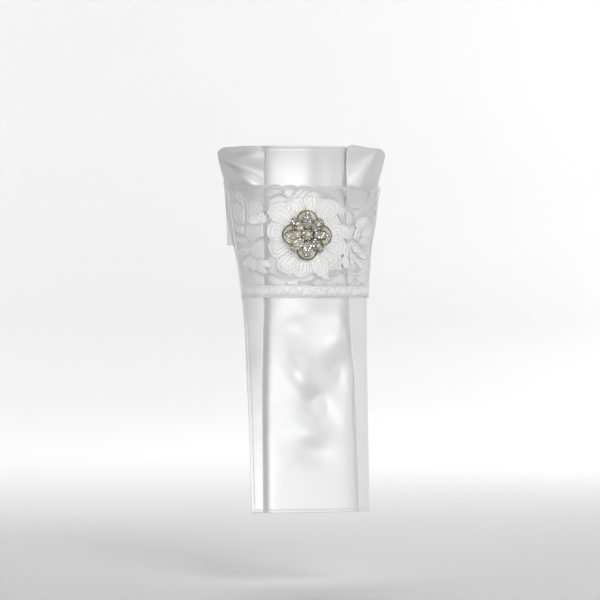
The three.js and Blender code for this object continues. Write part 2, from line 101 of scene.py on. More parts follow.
DRAG_FADE_HIGH = 62.0
FAN_RADIUS = 50.0
INNER_DROP_WIDTH = 16.0

OUTLINE = table(
    "height fold satin lace_left lace_right",
    (-235, 43, 53, 54, 54),
    (-120, 41.5, 54.5, 56, 56),
    (-46, 38.5, 57, 57.8, 58.5),
    (0, 37.4, 63, 62.6, 63),
    (27, 37.4, 68.6, 65.6, 67.6),
    (41, 37.4, 69.8, 67.4, 70.3),
    (57, 37.4, 70.2, 69.8, 71.4),
    (70, 37.4, 73.6, 72, 73),
    (86.4, 37.4, 77.5, 78, 78),
    (94, 37.4, 78.2, 79, 79),
)
LEFT_WING_TOP = table(
    "share height",
    (0, 84),
    (0.03, 87),
    (0.12, 90.9),
    (0.25, 91.8),
    (0.6, 91.2),
    (0.92, 89.6),
    (1, 86.4),
)
RIGHT_WING_TOP = table(
    "share height",
    (0, 86.9),
    (0.03, 90.3),
    (0.12, 93.6),
    (0.3, 92.8),
    (0.6, 91.2),
    (0.9, 90.1),
    (1, 86.2),
)
# Each wing's folds fan out below a place beside it; their ridges lie at these degrees below level
DRAG_FOLDS = {
    -1: {"across": 40, "above": 25, "depth": 11.5, "inner_drop": 0.6},
    1: {"across": 30, "above": 32, "depth": 8.8, "inner_drop": 0},
}
RIDGES = {
    -1: table("angle half_width share", (1, 11, 0.7), (39, 12, 1.15)),
    1: table("angle half_width share", (60, 18, 1.15)),
}
# Soft patches where the bib tips: the cloth rises towards these degrees from +X, at this slope
TIPPED_PATCHES = table(
    "across height half_width half_length lean rise slope",
    (28, -95, 15, 27, 8, 86, 0.34),
    (1, -129, 11, 24, -29, 116, 0.38),
    (-12, -72, 8, 8, 0, 90, 0.08),
    (2, -173, 18, 14, 30, 90, 0.26),
)

# Soft vertical waves of the centre panel, which start this far under the lace's top
COLLAR_WAVES_FADE = 30.0
COLLAR_WAVES = table(
    "across half_width lift",
    (2, 9, 0.7),
    (13, 6, -0.5),
    (29, 8, 0.6),
)

# The cloth's grids: steps across and up, and lines nearer together at an edge and beside a hem's crease
PANEL_STEP = 1.6
PLEAT_STEP = 1.3
BAND_STEP = 1.8
BAND_ROW = 2.4
CLOTH_ROW = 2.5
EDGE_ROWS = [0, 0.12, 0.45, 0.9]
HEM_ROWS = [1.6, 2.1, 2.4, 2.6, 2.8, 3.1, 3.7, 5.5]

# Seams: a hem's crease lies this far inside a finished edge
HEM_CREASE = 2.6
HEM_CREASE_WIDTH = 0.5
HEM_CREASE_DEPTH = 0.16

# Machine stitches lie in the hems' creases, and their ends dip into the cloth
STITCH_PITCH = 3.4
STITCH_LENGTH = 2.5
STITCH_SHARES = np.array([0, 0.2, 0.8, 1])
STITCH_LIFTS = np.array([-0.15, 0.1, 0.1, -0.15])
THREAD_RADIUS = 0.2
THREAD_SIDES = 5
PLEAT_END_ROWS = {"from": 0.06, "to": 0.93}
BAND_ROW_INSET_DEGREES = 1.5
LAP_ROWS_DEGREES = (2.6, 2 * LAP_HALF_ANGLE - 2)

# Brooch
BROOCH_HEIGHT = 11.25
BROOCH_TILT_DEGREES = 4.5
BROOCH_ROLL_DEGREES = 1.5
BROOCH_CLEARANCE = 1.1
BROOCH_REACH = 22.2
BROOCH_DOME = 3.2
LOBE_CENTRE = 13.2
LOBE_RADIUS = 9.0
WAIST_RADIUS = 16.8
PLATE_TOP = 1.0
BOSS_RADIUS = 5.4
BOSS_TOP = 1.3
GAP = 0.3
QUATREFOIL_POINTS = 160
LEAF_STEPS = 14
BOSS_POINTS = 40
MAIN_LEAF = {"start": 4, "end": 21, "half_width": 4.7, "bulge": 0.9, "fullness": 0.8}
DIAGONAL_LEAF = {"start": 4, "end": 20.2, "half_width": 5.2, "bulge": 1.3, "fullness": 0.6}
LEAF_PLATE = {"inset": 0.4, "bottom": 0.2}
BOSS_BOTTOM = 0.1

# The brooch's wires lie on its dome at these heights. The rings side by side fill the crescents.
OUTER_WIRE = {"height": 0.8, "radius": 0.6, "sides": 8, "flatten": 1.1}
LEAF_WIRE = {"height": 1.4, "radius": 0.42, "flatten": 1.3}
CRESCENT_WIRE = {"height": 0.5, "radius": 0.42}
CRESCENT_INSETS = (1.55, 3.95)
BOSS_WIRE = {"height": BOSS_TOP, "radius": 0.32}
BOSS_WIRE_INSET = 0.1
BEZEL_WIRE = {"height": BOSS_TOP + 0.9, "radius": 0.3}
BEZEL_GAP = 0.15
RING_WIRE = {"height": 0.6, "radius": 0.32, "sides": 5, "flatten": 1.3}
CRESCENT_RING = {"inset": 2.75, "step": 2.0, "radius": 0.9, "leaf_gap": 0.2}

# Stones: a cut stone's rings of corners go out by a share of its radius and up by a share of its crown
STONE_SIDES = 8
STONE_CORNERS = table(
    "out up shift count",
    (0.56, 1.0, 0, STONE_SIDES),
    (0.82, 0.6, 0.5, STONE_SIDES),
    (1.0, 0.08, 0, 2 * STONE_SIDES),
    (1.0, -0.08, 0, 2 * STONE_SIDES),
)
STONE_BACK = 0.6
STONE_SEED = 3
STONE_PITCH = 2.3
STONE_RADIUS = {"least": 0.98, "most": 1.12}
STONE_TIP = 0.26
STONE_BASE = PLATE_TOP + 0.35
STONE_CROWN = 0.5
STONE_BOSS_GAP = 0.7
STONE_GAP = 0.85
GRAIN = {"along": 0.98, "rise": 0.25, "radius": 0.23}
CENTRE_RING = {"count": 8, "ring": 3.9, "radius": 1.05}
CENTRE_STONE_RADIUS = 2.4
CORNER_STONE = {"along": 13.4, "radius": 1.95}
LARGE_STONE = {"rise": 0.5, "crown": 0.45, "tip": (0.2, -0.14)}
CLAW = {"foot": 1.02, "drop": 0.2, "tip": 0.86, "rise": 0.78, "bow": 0.1, "wire": 0.28, "bead": 0.34}

# Lace: the ground, its cords and the rows of stitches in the close work
LACE_SPAN = 74.0
LACE_MEAN_HALF_WIDTH = 60.0
NET_CELL = 2.0
NET_THREAD = 0.13
NET_FLATNESS = 0.2
NET_MARGIN = 0.4
CORD = 0.42
TAPE_CORD = 0.36
FINE_CORD = 0.33
EDGE_CORD = 0.5
BAR = 0.3
RING_CORD = 0.3
PICOT_CORD = 0.28
STITCH_GRID = 0.6
STITCH_ROW = 1.8
STITCH_DEPTH = 0.2
BORDER_CLOTH_HEIGHT = 10.0
BORDER_CLOTH = {"inset": 0.5, "scallop": 0.9, "top": -0.15, "bottom": -0.4}
BORDER_STITCH_DEPTH = 0.08
CLOSE_WORK_WALL = 0.2
CLOSE_WORK_CROWN = 0.12
COVERED = {"from": 0.1, "to": 0.9, "margin": 1}
PETAL_STEP = 0.22
PETAL_SHOULDER = 0.62
PETAL_FOOT = 0.4
LEAF_MOST = 6.0
LEAF_SHAPE = {"bulge": 0.9, "fullness": 0.8}
MOTIF_START = 0.04
PETAL_END = 0.985
LEAF_END = 0.95
MOTIF_RIM = {"from": 0.03, "to": 0.99, "step": 0.7}
OUTER_VEIN = {"from": 0.1, "to": 0.86, "across": 0.62}
INNER_VEIN = {"from": 0.08, "to": 0.7, "across": 0.25, "points": 16}
RIM_LIFT = 0.3
LEAF_RIM_LIFT = 0.1
VEIN_LIFT = 0.5
RUFFLE_PITCH = 4.2
RUFFLE_DEPTH = 0.15
UNDER_PETAL_REACH = 0.9
UNDER_PETAL_LEVEL = -0.3
PICOT_STEP = 2.3
PICOT_PATH_STEP = 0.4
PICOT_RADIUS = 0.95
STAR = {"bars": 6, "ring": 0.9, "reach": 2.9}
STAR_BAR = np.array([0.25, 0.5, 0.25])
SIDE_HEM = {"share": 0.993, "inset": 1.2, "lift": 0.1}
STEM = {"step": 1.1, "margin": 0.6, "lift": 0.4}

# Cords along the scalloped edges: how far inside and how deeply scalloped. Bars join the first two.
TOP_CORDS = table(
    "inset depth radius lift",
    (0.45, 1.7, EDGE_CORD, 0.5),
    (2.3, 1.7, EDGE_CORD, 0.5),
    (3.6, 1.5, FINE_CORD, 0.1),
)
TOP_BARS = {"count": 150, "start": (0.45, 0.9), "end": (2.3, 1.5)}
BOTTOM_CORDS = table(
    "inset depth radius lift",
    (0.35, 0.9, EDGE_CORD, 0.25),
    (2.2, 1.6, CORD, 0.25),
    (3.2, 1.6, FINE_CORD, 0.25),
)
BOTTOM_BARS = {"count": 190, "start": (0.35, 0.9), "end": (2.2, 1.6)}
BORDER_WIDTH_SHARE = 0.992
BORDER_POINTS = 300

# Each scallop along the bottom has two arches, a star beside them and a fan of little leaves
ARCHES = table("reach rise", (0.078, 8.6), (0.052, 6.4))
ARCH_FOOT = 4.2
ARCH_LIFT = 0.25
SCALLOP_STAR = {"height": 12.4, "reach": 2.2}
FAN_TURNS = (25, 57, 90, 123, 155)
FAN_FOOT = 3.4
FAN_START = 0.8
FAN_REACH = 6.4
FAN_LEAF_HALF_WIDTH = 1.9

# Motifs of close work lie flat on the lace, from a base to a tip. The petals ring the brooch.
MOTIF_COLUMNS = "x z tip_x tip_z half_width bend"
PETALS = table(
    MOTIF_COLUMNS,
    (12, 12, 36, 16, 9, -1.5),
    (11, 21, 28, 42, 10, 2),
    (3, 24, 7, 50, 8, 1),
    (-6, 23, -13, 47, 8.5, -1),
    (-11, 19, -32, 37, 10.5, -2),
    (-14, 12, -35, 17, 9, 1),
    (-13, 5, -33, -4, 9.5, -1),
    (-8, -1, -24, -21, 10, 2),
    (-2, -4, -6, -27, 8.5, -1),
    (6, -2, 15, -25, 8.5, 1),
    (11, 1, 31, -16, 10, -2),
    (13, 6, 37, -1, 9, 1),
)
LEAVES = table(
    MOTIF_COLUMNS,
    (-57, 21, -62, 40, 4.6, -1),
    (-52, 24, -38, 27, 4.2, 0),
    (-56, 12, -62, 21, 2.8, -1),
    (-51, 6, -62, 9, 2.8, 1),
    (-50, 0, -61, -5, 3.2, 1),
    (-49, -8, -57, -16, 3, 1),
    (-47, -10, -47, -21, 2.8, -1),
    (-43, -11, -32, -18, 3, 1),
    (-42, -15, -35, -23, 2.6, -1),
    (-22, -17, -15, -26, 3, 1),
    (47, 18, 60, 28, 3.6, 1.5),
    (52, 11, 62, 19, 3.8, -1),
    (45, 8, 50, 20, 2.8, -1),
    (50, 4, 60, 8, 2.8, 1),
    (43, 2, 53, -3, 2.8, -1),
    (42, -4, 42, -15, 2.6, 1),
    (48, -5, 57, -10, 2.6, 1),
    (46, -10, 52, -19, 2.8, 1),
    (35, -7, 36, -19, 3.2, 1),
    (13, -20, 20, -28, 3, -1),
    (29, 31, 38, 34, 2.8, 1),
    (33, 22, 37, 8, 4, 1),
    (36, 5, 38, -9, 3.6, -1),
    (-36, 22, -40, 33, 3.4, 1),
)

# Tapes are ladders between two cords, and stems are single cords: smooth lines through these places
TAPE_HALF_WIDTH = 0.95
TAPE_MARGIN = 0.4
TAPE_PATH_STEP = 0.9
TAPE_START = 0.3
TAPE_STEP = 1.35
TAPE_BAR = {"width": 0.5, "height": 0.35, "low": 0.15}
TAPES = [
    [(-67, 52), (-61, 48), (-56, 44), (-53, 40), (-53, 31), (-53, 22)],
    [(-52, 42.5), (-47, 44), (-42, 43), (-38.5, 40)],
    [(-52, 6), (-47, 5), (-42, 8), (-36, 9), (-31, 6), (-31, -3), (-35, -9), (-43, -10), (-49, -6), (-50, 1)],
    [(-51, -20.5), (-45, -21), (-40, -24), (-32, -24), (-24, -26.5), (-15, -28)],
    [(-27, -20), (-22, -27), (-13, -27.5), (-8, -23), (-11, -18)],
    [(27, -21), (22, -27), (14, -27), (9, -22), (12, -17)],
    [(-8, -30), (-2, -31.5), (5, -30), (10, -26)],
    [(38, 45), (40, 38.5), (47, 35.5), (54, 37), (59, 41.5), (62, 47), (63.5, 52)],
    [(45, 21), (51, 27), (57, 31), (63, 36), (67, 41)],
    [(39, 20), (34, 27), (36, 35), (43, 33), (46, 26), (42, 20)],
    [(30, -21), (37, -22), (43, -20), (50, -20.5)],
    [(38, 5), (43, 8), (50, 5), (54, 0), (51, -5), (44, -4)],
    [(-33, 45), (-26, 48), (-19, 46), (-13, 41)],
    [(10, 43), (17, 46), (25, 46), (32, 42)],
]
STEMS = [
    [(-66, 48), (-60, 44), (-56, 39), (-55.5, 31), (-56, 22)],
    [(-50.5, 40), (-50, 31), (-49.5, 22), (-45, 20.5), (-40, 21)],
    [(-63, 15), (-58, 15), (-56, 18), (-58, 20.5), (-61, 19)],
    [(-60, -2), (-57, -6), (-59, -10), (-55, -13), (-56, -18)],
    [(-36, 24), (-34, 18), (-36, 12)],
    [(-20, -19), (-23, -23), (-19, -25), (-15, -22)],
    [(63, 51), (66, 45), (69, 41)],
    [(51, 31), (57, 35), (62, 40), (66, 46)],
    [(40, 17), (46, 20), (50, 17), (48, 11), (50, 6)],
    [(36, -8), (41, -8), (44, -12), (42, -18)],
    [(36, -25.5), (43, -24), (50, -24.5)],
    [(20, -19), (24, -22), (20, -25), (15, -23)],
    [(-33, 41), (-34, 34), (-36, 28)],
    [(33, 38), (31, 32), (33, 26)],
    [(-8, 45), (-1, 52), (6, 45)],
]
PICOT_ROWS = [
    [(-38, 40), (-37, 35), (-35, 30), (-36, 24)],
    [(-52, 10), (-54, 15), (-52, 20)],
    [(54, 30), (59, 31), (63, 28), (64, 23)],
    [(-56, -2), (-53, -6), (-53, -12)],
    [(50, -1), (56, -2), (58, 3)],
    [(-10, 50), (-13, 47), (-15, 43)],
    [(7, 50), (11, 46), (16, 46)],
]
STARS = [
    (-48.5, -25.5), (46, -29), (-60, 48.5), (67, 33), (-26, -24),
    (28, -23), (36, 49), (-22, 50), (20, 50),
]


# Numbers and curves

def look_up(rows, into, out, at):
    """The value of column out where column into is at, on a smooth curve through a table's rows."""
    at = np.asarray(at, float)
    xs = np.array([row[into] for row in rows], float)
    ys = np.array([row[out] for row in rows], float)
    i = np.clip(np.searchsorted(xs, at, side="right") - 1, 0, len(xs) - 2)
    slopes = np.diff(ys) / np.diff(xs)
    here = slopes[i]
    before = slopes[np.maximum(i - 1, 0)]
    after = slopes[np.minimum(i + 1, len(slopes) - 1)]
    step = xs[i + 1] - xs[i]
    t = np.clip((at - xs[i]) / step, 0, 1)
    start = np.where(before * here > 0, (before + here) / 2, 0)
    end = np.where(after * here > 0, (after + here) / 2, 0)
    cubic = t * t * (3 - 2 * t) * (ys[i + 1] - ys[i])
    return ys[i] + cubic + step * t * (1 - t) * ((1 - t) * start - t * end)


def smoothstep(at, low, high):
    t = np.clip((np.asarray(at, float) - low) / (high - low), 0, 1)
    return t * t * (3 - 2 * t)


def hill(at, middle, half_width):
    """A smooth hill of height 1 at middle."""
    return np.exp(-(((np.asarray(at, float) - middle) / half_width) ** 2))


def spaced(length, step, near):
    """Distances from 0 to length: the list near at both ends, and even steps between."""
    near = [d for d in near if d < length / 3]
    inner = length - 2 * near[-1]
    count = max(1, round(inner / step))
    middle = [near[-1] + inner * k / count for k in range(1, count)]
    return np.array(near + middle + [length - d for d in reversed(near)])


def spline(points, step):
    """Points about step apart on a smooth curve through the given flat points."""
    points = [np.array(p, float) for p in points]
    ends = [2 * points[0] - points[1]] + points + [2 * points[-1] - points[-2]]
    curve = []
    for a, b, c, d in zip(ends, ends[1:], ends[2:], ends[3:]):
        count = max(2, round(np.linalg.norm(c - b) / step))
        for k in range(count):
            t = k / count
            curve.append(0.5 * (2 * b + (c - a) * t + (2 * a - 5 * b + 4 * c - d) * t * t
                                + (3 * b - a - 3 * c + d) * t ** 3))
    curve.append(points[-1])
    return np.array(curve)


def outline_at(column, height):
    return look_up(OUTLINE, "height", column, height)


def flat_places(across, height):
    return np.stack(np.broadcast_arrays(across, height), -1)


def direction(degrees):
    return np.array([math.cos(math.radians(degrees)), math.sin(math.radians(degrees))])


def circle(count):
    """Flat places all round a circle of radius 1."""
    turns = np.linspace(0, 2 * math.pi, count, endpoint=False)
    return np.stack([np.cos(turns), np.sin(turns)], -1)


def left_of(way):
    """Flat unit vectors to the left of the given ones."""
    way = way / np.linalg.norm(way, axis=1, keepdims=True)
    return np.stack([-way[:, 1], way[:, 0]], -1)


def lengths_along(path):
    return np.concatenate([[0], np.cumsum(np.linalg.norm(np.diff(path, axis=0), axis=1))])


def at_lengths(path, lengths, at):
    """Flat places on a path, at these lengths along it."""
    return np.stack([np.interp(at, lengths, path[:, 0]), np.interp(at, lengths, path[:, 1])], -1)


# Meshes

def mesh_object(name, points, faces, materials, smooth=True, face_materials=None):
    """A mesh object from points in millimetres; smooth is one choice, or one for each face."""
    mesh = bpy.data.meshes.new(name)
    mesh.from_pydata((np.asarray(points, float) * MM).tolist(), [], [list(map(int, f)) for f in faces])
    for material in materials:
        mesh.materials.append(material)
    mesh.polygons.foreach_set("use_smooth", np.array(np.broadcast_to(smooth, len(faces))))
    if face_materials is not None:
        mesh.polygons.foreach_set("material_index", np.asarray(face_materials, np.int32))
    mesh.update()
    piece = bpy.data.objects.new(name, mesh)
    bpy.context.scene.collection.objects.link(piece)
    return piece


def outward(points, faces):
    """The faces, turned if need be so that a closed mesh's faces point out."""
    points = np.asarray(points, float)
    first = np.array([f[:3] for f in faces])
    a, b, c = points[first[:, 0]], points[first[:, 1]], points[first[:, 2]]
    volume = np.einsum("ij,ij->i", a, np.cross(b, c)).sum()
    return [list(f)[::-1] for f in faces] if volume < 0 else faces


def grid_quads(at):
    """A face for every cell of a grid of point numbers."""
    return np.stack([at[:-1, :-1], at[1:, :-1], at[1:, 1:], at[:-1, 1:]], -1).reshape(-1, 4)


def ring_quads(a, b, count):
    """Faces between two rings of points, whose numbers start at a and b."""
    for k in range(count):
        after = (k + 1) % count
        yield [a + k, a + after, b + after, b + k]


def sheet_mesh(middle, along_i, along_j, wall):
    """Points and faces of a closed sheet with rounded edges, from a grid of points on its middle surface.

    along_i and along_j are the distances of the grid's columns and rows from its first edges.
    """
    di = np.gradient(middle, axis=0)
    dj = np.gradient(middle, axis=1)
    normal = np.cross(di, dj)
    normal /= np.linalg.norm(normal, axis=2, keepdims=True)
    from_i = np.minimum(along_i, along_i[-1] - along_i)[:, None]
    from_j = np.minimum(along_j, along_j[-1] - along_j)[None, :]
    edge = np.minimum(np.minimum(from_i, from_j) / (wall / 2), 1)
    half = wall / 2 * np.sqrt(np.maximum(0, 1 - (1 - edge) ** 2))[:, :, None]
    ni, nj = middle.shape[:2]
    front = (middle + normal * half).reshape(-1, 3)
    back = (middle - normal * half).reshape(-1, 3)
    at = np.arange(ni * nj).reshape(ni, nj)
    inside = np.zeros((ni, nj), bool)
    inside[1:-1, 1:-1] = True
    back_at = at.copy()
    back_at[inside] = ni * nj + np.arange(inside.sum())
    points = np.vstack([front, back[inside.ravel()]])
    behind = grid_quads(back_at)[:, [0, 3, 2, 1]]
    faces = np.vstack([grid_quads(at), behind]).tolist()
    return points, outward(points, faces)


def join(parts):
    """Points and faces of many small meshes as one."""
    points, faces, start = [], [], 0
    for part_points, part_faces in parts:
        points.append(np.asarray(part_points, float))
        faces.extend([[v + start for v in f] for f in part_faces])
        start += len(part_points)
    return np.vstack(points), faces


def tube(path, radius, sides, closed=False, flatten=1.0, up=None):
    """A closed tube along a path of 3-D points; flatten is its height as a share of its width."""
    path = np.asarray(path, float)
    if closed:
        along = np.roll(path, -1, 0) - np.roll(path, 1, 0)
    else:
        along = np.gradient(path, axis=0)
    along /= np.linalg.norm(along, axis=1, keepdims=True)
    up = np.array([0.0, -1.0, 0.0]) if up is None else np.asarray(up, float)
    side = np.cross(along, up)
    side /= np.linalg.norm(side, axis=1, keepdims=True)
    lift = np.cross(side, along)
    radius = np.broadcast_to(np.asarray(radius, float), (len(path),))[:, None]
    rings = []
    for k in range(sides):
        turn = 2 * math.pi * (k + 0.5) / sides
        rings.append(path + radius * (math.cos(turn) * side + flatten * math.sin(turn) * lift))
    points = np.stack(rings, 1).reshape(-1, 3)
    count = len(path)
    faces = []
    for i in range(count if closed else count - 1):
        faces.extend(ring_quads(i * sides, (i + 1) % count * sides, sides))
    if not closed:
        faces.append(list(range(sides))[::-1])
        faces.append([(count - 1) * sides + k for k in range(sides)])
    return points, outward(points, faces)


# The plastron's surface, as in the CAD model

def front_line(height):
    chest = CHEST_SLOPE * CHEST_BLEND * np.log1p(np.exp((CHEST_START - height) / CHEST_BLEND))
    lean = np.maximum(0, (height - LACE_TOP) / (PANEL_TOP - LACE_TOP))
    return FRONT_DEPTH + chest + TOP_LEAN * lean * lean


def plastron(across, height, lift):
    across, height, lift = np.broadcast_arrays(*(np.asarray(v, float) for v in (across, height, lift)))
    low = smoothstep(-height, 0, -HEM)
    curve = SIDE_CURVE + (SIDE_CURVE_AT_HEM - SIDE_CURVE) * low
    depth = curve * (across / SIDE_SPAN) ** 2 - front_line(height) - lift
    return np.stack([across, depth, height], -1)


def tipped_patches(across, height):
    """The lift that tips the bib's patches; each dies away beyond its half width and half length."""
    total = np.zeros(np.broadcast(across, height).shape)
    for row in TIPPED_PATCHES:
        turn, rise = math.radians(row["lean"]), math.radians(row["rise"])
        x = across - row["across"]
        z = height - row["height"]
        u = (x * math.cos(turn) - z * math.sin(turn)) / row["half_width"]
        v = (x * math.sin(turn) + z * math.cos(turn)) / row["half_length"]
        tipped = row["slope"] * (x * math.cos(rise) + z * math.sin(rise))
        total = total + tipped * np.exp(-(u * u + v * v))
    return total


def from_fan(side, across, height):
    """How far places lie inward of and below the place beside a wing that its folds fan out from."""
    fold = DRAG_FOLDS[side]
    out = np.maximum(0, np.abs(across) - outline_at("fold", height))
    return fold["across"] - out, fold["above"] - (height - LACE_TOP)


def crest_lift(side, across, height):
    inward, down = from_fan(side, across, height)
    reach = np.minimum(1, np.hypot(inward, down) / FAN_RADIUS)
    return smoothstep(height, DRAG_FADE_LOW, DRAG_FADE_HIGH) * DRAG_FOLDS[side]["depth"] * reach


def wing_lift(side, across, height):
    inward, down = from_fan(side, across, height)
    angle = np.degrees(np.arctan2(down, inward))
    wave = sum(ridge["share"] * hill(angle, ridge["angle"], ridge["half_width"]) for ridge in RIDGES[side])
    out = DRAG_FOLDS[side]["across"] - inward
    wave = wave * (1 - DRAG_FOLDS[side]["inner_drop"] * hill(out, 0, INNER_DROP_WIDTH))
    rise = np.maximum(0, (height - LACE_TOP) / (PANEL_TOP - LACE_TOP))
    return crest_lift(side, across, height) * wave + PLEAT_LOFT * rise


def panel_swell(across, height):
    """How far the centre panel stands out: nearly flat between the folds, and rolled off beside them."""
    inside = np.maximum(0, 1 - np.abs(across / outline_at("fold", height)) ** PANEL_ROLL)
    below = smoothstep(-height, -BIB_SWELL_TOP, -BIB_SWELL_FULL)
    above = smoothstep(height, LACE_TOP - COLLAR_WAVES_FADE, LACE_TOP)
    waves = sum(w["lift"] * hill(across, w["across"], w["half_width"]) for w in COLLAR_WAVES)
    sag = SIDE_CURVE * (across / SIDE_SPAN) ** 2
    bib = BIB_SWELL + BIB_FLATNESS * sag + tipped_patches(across, height)
    return np.maximum(0, inside * (PANEL_CROWN + below * bib + above * waves))


# Cloth

def crease(distance):
    return -HEM_CREASE_DEPTH * hill(distance, HEM_CREASE, HEM_CREASE_WIDTH)


def stitch_line(path, surface):
    """Dashes of thread along a path of flat places; surface turns flat places and a lift into points."""
    lengths = lengths_along(surface(path, 0))
    for start in np.arange(1.0, lengths[-1] - STITCH_LENGTH, STITCH_PITCH):
        flat = at_lengths(path, lengths, start + STITCH_LENGTH * STITCH_SHARES)
        yield tube(surface(flat, STITCH_LIFTS), THREAD_RADIUS, THREAD_SIDES)


def make_stitches(name, lines, satin):
    piece = mesh_object(name, *join(lines), [satin])
    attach(piece, ROOT)
    return piece


def make_satin(name, node, grid, satin):
    """A satin piece from its grid, as sheet_mesh takes it; it stands for the solid of that node."""
    piece = mesh_object(name, *sheet_mesh(*grid), [satin])
    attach(piece, ROOT)
    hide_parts(node)
    return piece


def make_centre_panel(satin):
    heights = HEM + spaced(PANEL_TOP - HEM, CLOTH_ROW, EDGE_ROWS + HEM_ROWS)
    full = 2 * (outline_at("fold", 0) + PANEL_UNDER_PLEAT)
    shares = spaced(full, PANEL_STEP, EDGE_ROWS) / full
    across = (outline_at("fold", heights)[None, :] + PANEL_UNDER_PLEAT) * (2 * shares[:, None] - 1)
    height = np.broadcast_to(heights[None, :], across.shape)
    creases = crease(np.minimum(height - HEM, PANEL_TOP - height))
    middle = plastron(across, height, PANEL_WALL / 2 + panel_swell(across, height) + creases)
    grid = (middle, shares * full, heights - HEM, PANEL_WALL)
    piece = make_satin("satin_centre_panel", "centre_panel", grid, satin)

    def surface(flat, lift):
        return plastron(flat[:, 0], flat[:, 1], PANEL_WALL + panel_swell(flat[:, 0], flat[:, 1]) + lift)

    lines = []
    for height in (PANEL_TOP - HEM_CREASE, HEM + HEM_CREASE):
        reach = float(outline_at("fold", height))
        lines.extend(stitch_line(flat_places(np.linspace(-reach, reach, 80), height), surface))
    hems = make_stitches("centre_panel_stitches", lines, satin)


def make_pleat(name, node, side, top_edge, satin):
    shares = spaced(PLEAT_WIDTH, PLEAT_STEP, EDGE_ROWS + HEM_ROWS) / PLEAT_WIDTH
    levels = spaced(PLEAT_LENGTH, CLOTH_ROW, EDGE_ROWS + HEM_ROWS) / PLEAT_LENGTH
    top = look_up(top_edge, "share", "height", shares)[:, None]
    height = HEM + (top - HEM) * levels[None, :]
    fold = outline_at("fold", height)
    outer = outline_at("satin", height)
    across = side * (fold + (outer - fold) * shares[:, None])
    from_end = np.minimum(top - height, height - HEM)
    creases = np.minimum(crease(outer - np.abs(across)), crease(from_end))
    middle = plastron(across, height, PLEAT_BACK + PLEAT_WALL / 2 + wing_lift(side, across, height) + creases)
    grid = (middle, shares * PLEAT_WIDTH, levels * PLEAT_LENGTH, PLEAT_WALL)
    piece = make_satin(name, node, grid, satin)

    def surface(flat, lift):
        loft = wing_lift(side, flat[:, 0], flat[:, 1])
        return plastron(flat[:, 0], flat[:, 1], PLEAT_BACK + PLEAT_WALL + loft + lift)

    height = np.linspace(HEM + HEM_CREASE, top_edge[-2]["height"] - HEM_CREASE, 260)
    lines = list(stitch_line(flat_places(side * (outline_at("satin", height) - HEM_CREASE), height), surface))
    share = np.linspace(PLEAT_END_ROWS["from"], PLEAT_END_ROWS["to"], 50)
    for level in (look_up(top_edge, "share", "height", share) - HEM_CREASE, HEM + HEM_CREASE):
        inner = outline_at("fold", level)
        across = side * (inner + (outline_at("satin", level) - inner) * share)
        lines.extend(stitch_line(flat_places(across, level), surface))
    hems = make_stitches(node + "_stitches", lines, satin)


def band_outline(degrees, height):
    share = (height - BAND_BOTTOM) / (BAND_TOP - BAND_BOTTOM)
    half_width = BAND_HALF_WIDTH + BAND_TOP_FLARE * share * share
    sine, cosine = np.sin(np.radians(degrees)), np.cos(np.radians(degrees))
    front = cosine < 0
    power = np.where(front, 2 / BAND_FRONT_ROUNDNESS, 1)
    depth = np.where(front, BAND_FRONT_DEPTH, BAND_BACK_DEPTH)
    x = half_width * np.sign(sine) * np.abs(sine) ** power
    y = depth * np.sign(cosine) * np.abs(cosine) ** power
    return np.stack([x, y], -1)


def on_band(degree, height, lift):
    """Points on the neck band's outer face, by degrees from its back; the end that laps lies further out."""
    tangent = band_outline(degree + 0.5, height) - band_outline(degree - 0.5, height)
    tangent /= np.linalg.norm(tangent, axis=-1, keepdims=True)
    offset = LAP_STEP * smoothstep(degree, LAP_RISE_START, LAP_RISE_END) + lift
    plan = band_outline(degree, height)
    x = plan[..., 0] - tangent[..., 1] * offset
    y = plan[..., 1] + tangent[..., 0] * offset
    return np.stack([x, y, height], -1)


def make_neck_band(satin):
    turn = 360 + 2 * LAP_HALF_ANGLE
    total = 2 * math.pi * BAND_MEAN_RADIUS * turn / 360
    along = spaced(total, BAND_STEP, EDGE_ROWS)
    degrees = -LAP_HALF_ANGLE + turn * along / total
    heights = BAND_BOTTOM + spaced(BAND_TOP - BAND_BOTTOM, BAND_ROW, EDGE_ROWS + HEM_ROWS)
    degree, height = np.meshgrid(degrees, heights, indexing="ij")
    creases = crease(np.minimum(height - BAND_BOTTOM, BAND_TOP - height))
    grid = (on_band(degree, height, creases - BAND_WALL / 2), along, heights - BAND_BOTTOM, BAND_WALL)
    piece = make_satin("satin_neck_band", "neck_band", grid, satin)

    def surface(flat, lift):
        return on_band(flat[:, 0], flat[:, 1], lift)

    lines = []
    ends = BAND_BOTTOM + HEM_CREASE, BAND_TOP - HEM_CREASE
    around = np.linspace(degrees[0] + BAND_ROW_INSET_DEGREES, degrees[-1] - BAND_ROW_INSET_DEGREES, 400)
    for height in ends:
        lines.extend(stitch_line(flat_places(around, height), surface))
    for inset in LAP_ROWS_DEGREES:
        lines.extend(stitch_line(flat_places(degrees[-1] - inset, np.linspace(*ends, 40)), surface))
    hems = make_stitches("neck_band_stitches", lines, satin)


# Lace

def lace_edge(share):
    """How far the scalloped edge stands out from its cusps."""
    return SCALLOP_DEPTH * np.abs(np.sin(math.pi * (SCALLOPS * np.asarray(share, float) / 2 - SCALLOP_SHIFT)))


def lace_half_width(side, height):
    """The lace's half width, on the side that the sign of side tells."""
    return np.where(np.asarray(side) < 0, outline_at("lace_left", height), outline_at("lace_right", height))


def lace_across(share, height):
    return share * lace_half_width(share, height)


def lace_share(across, height):
    return across / lace_half_width(across, height)


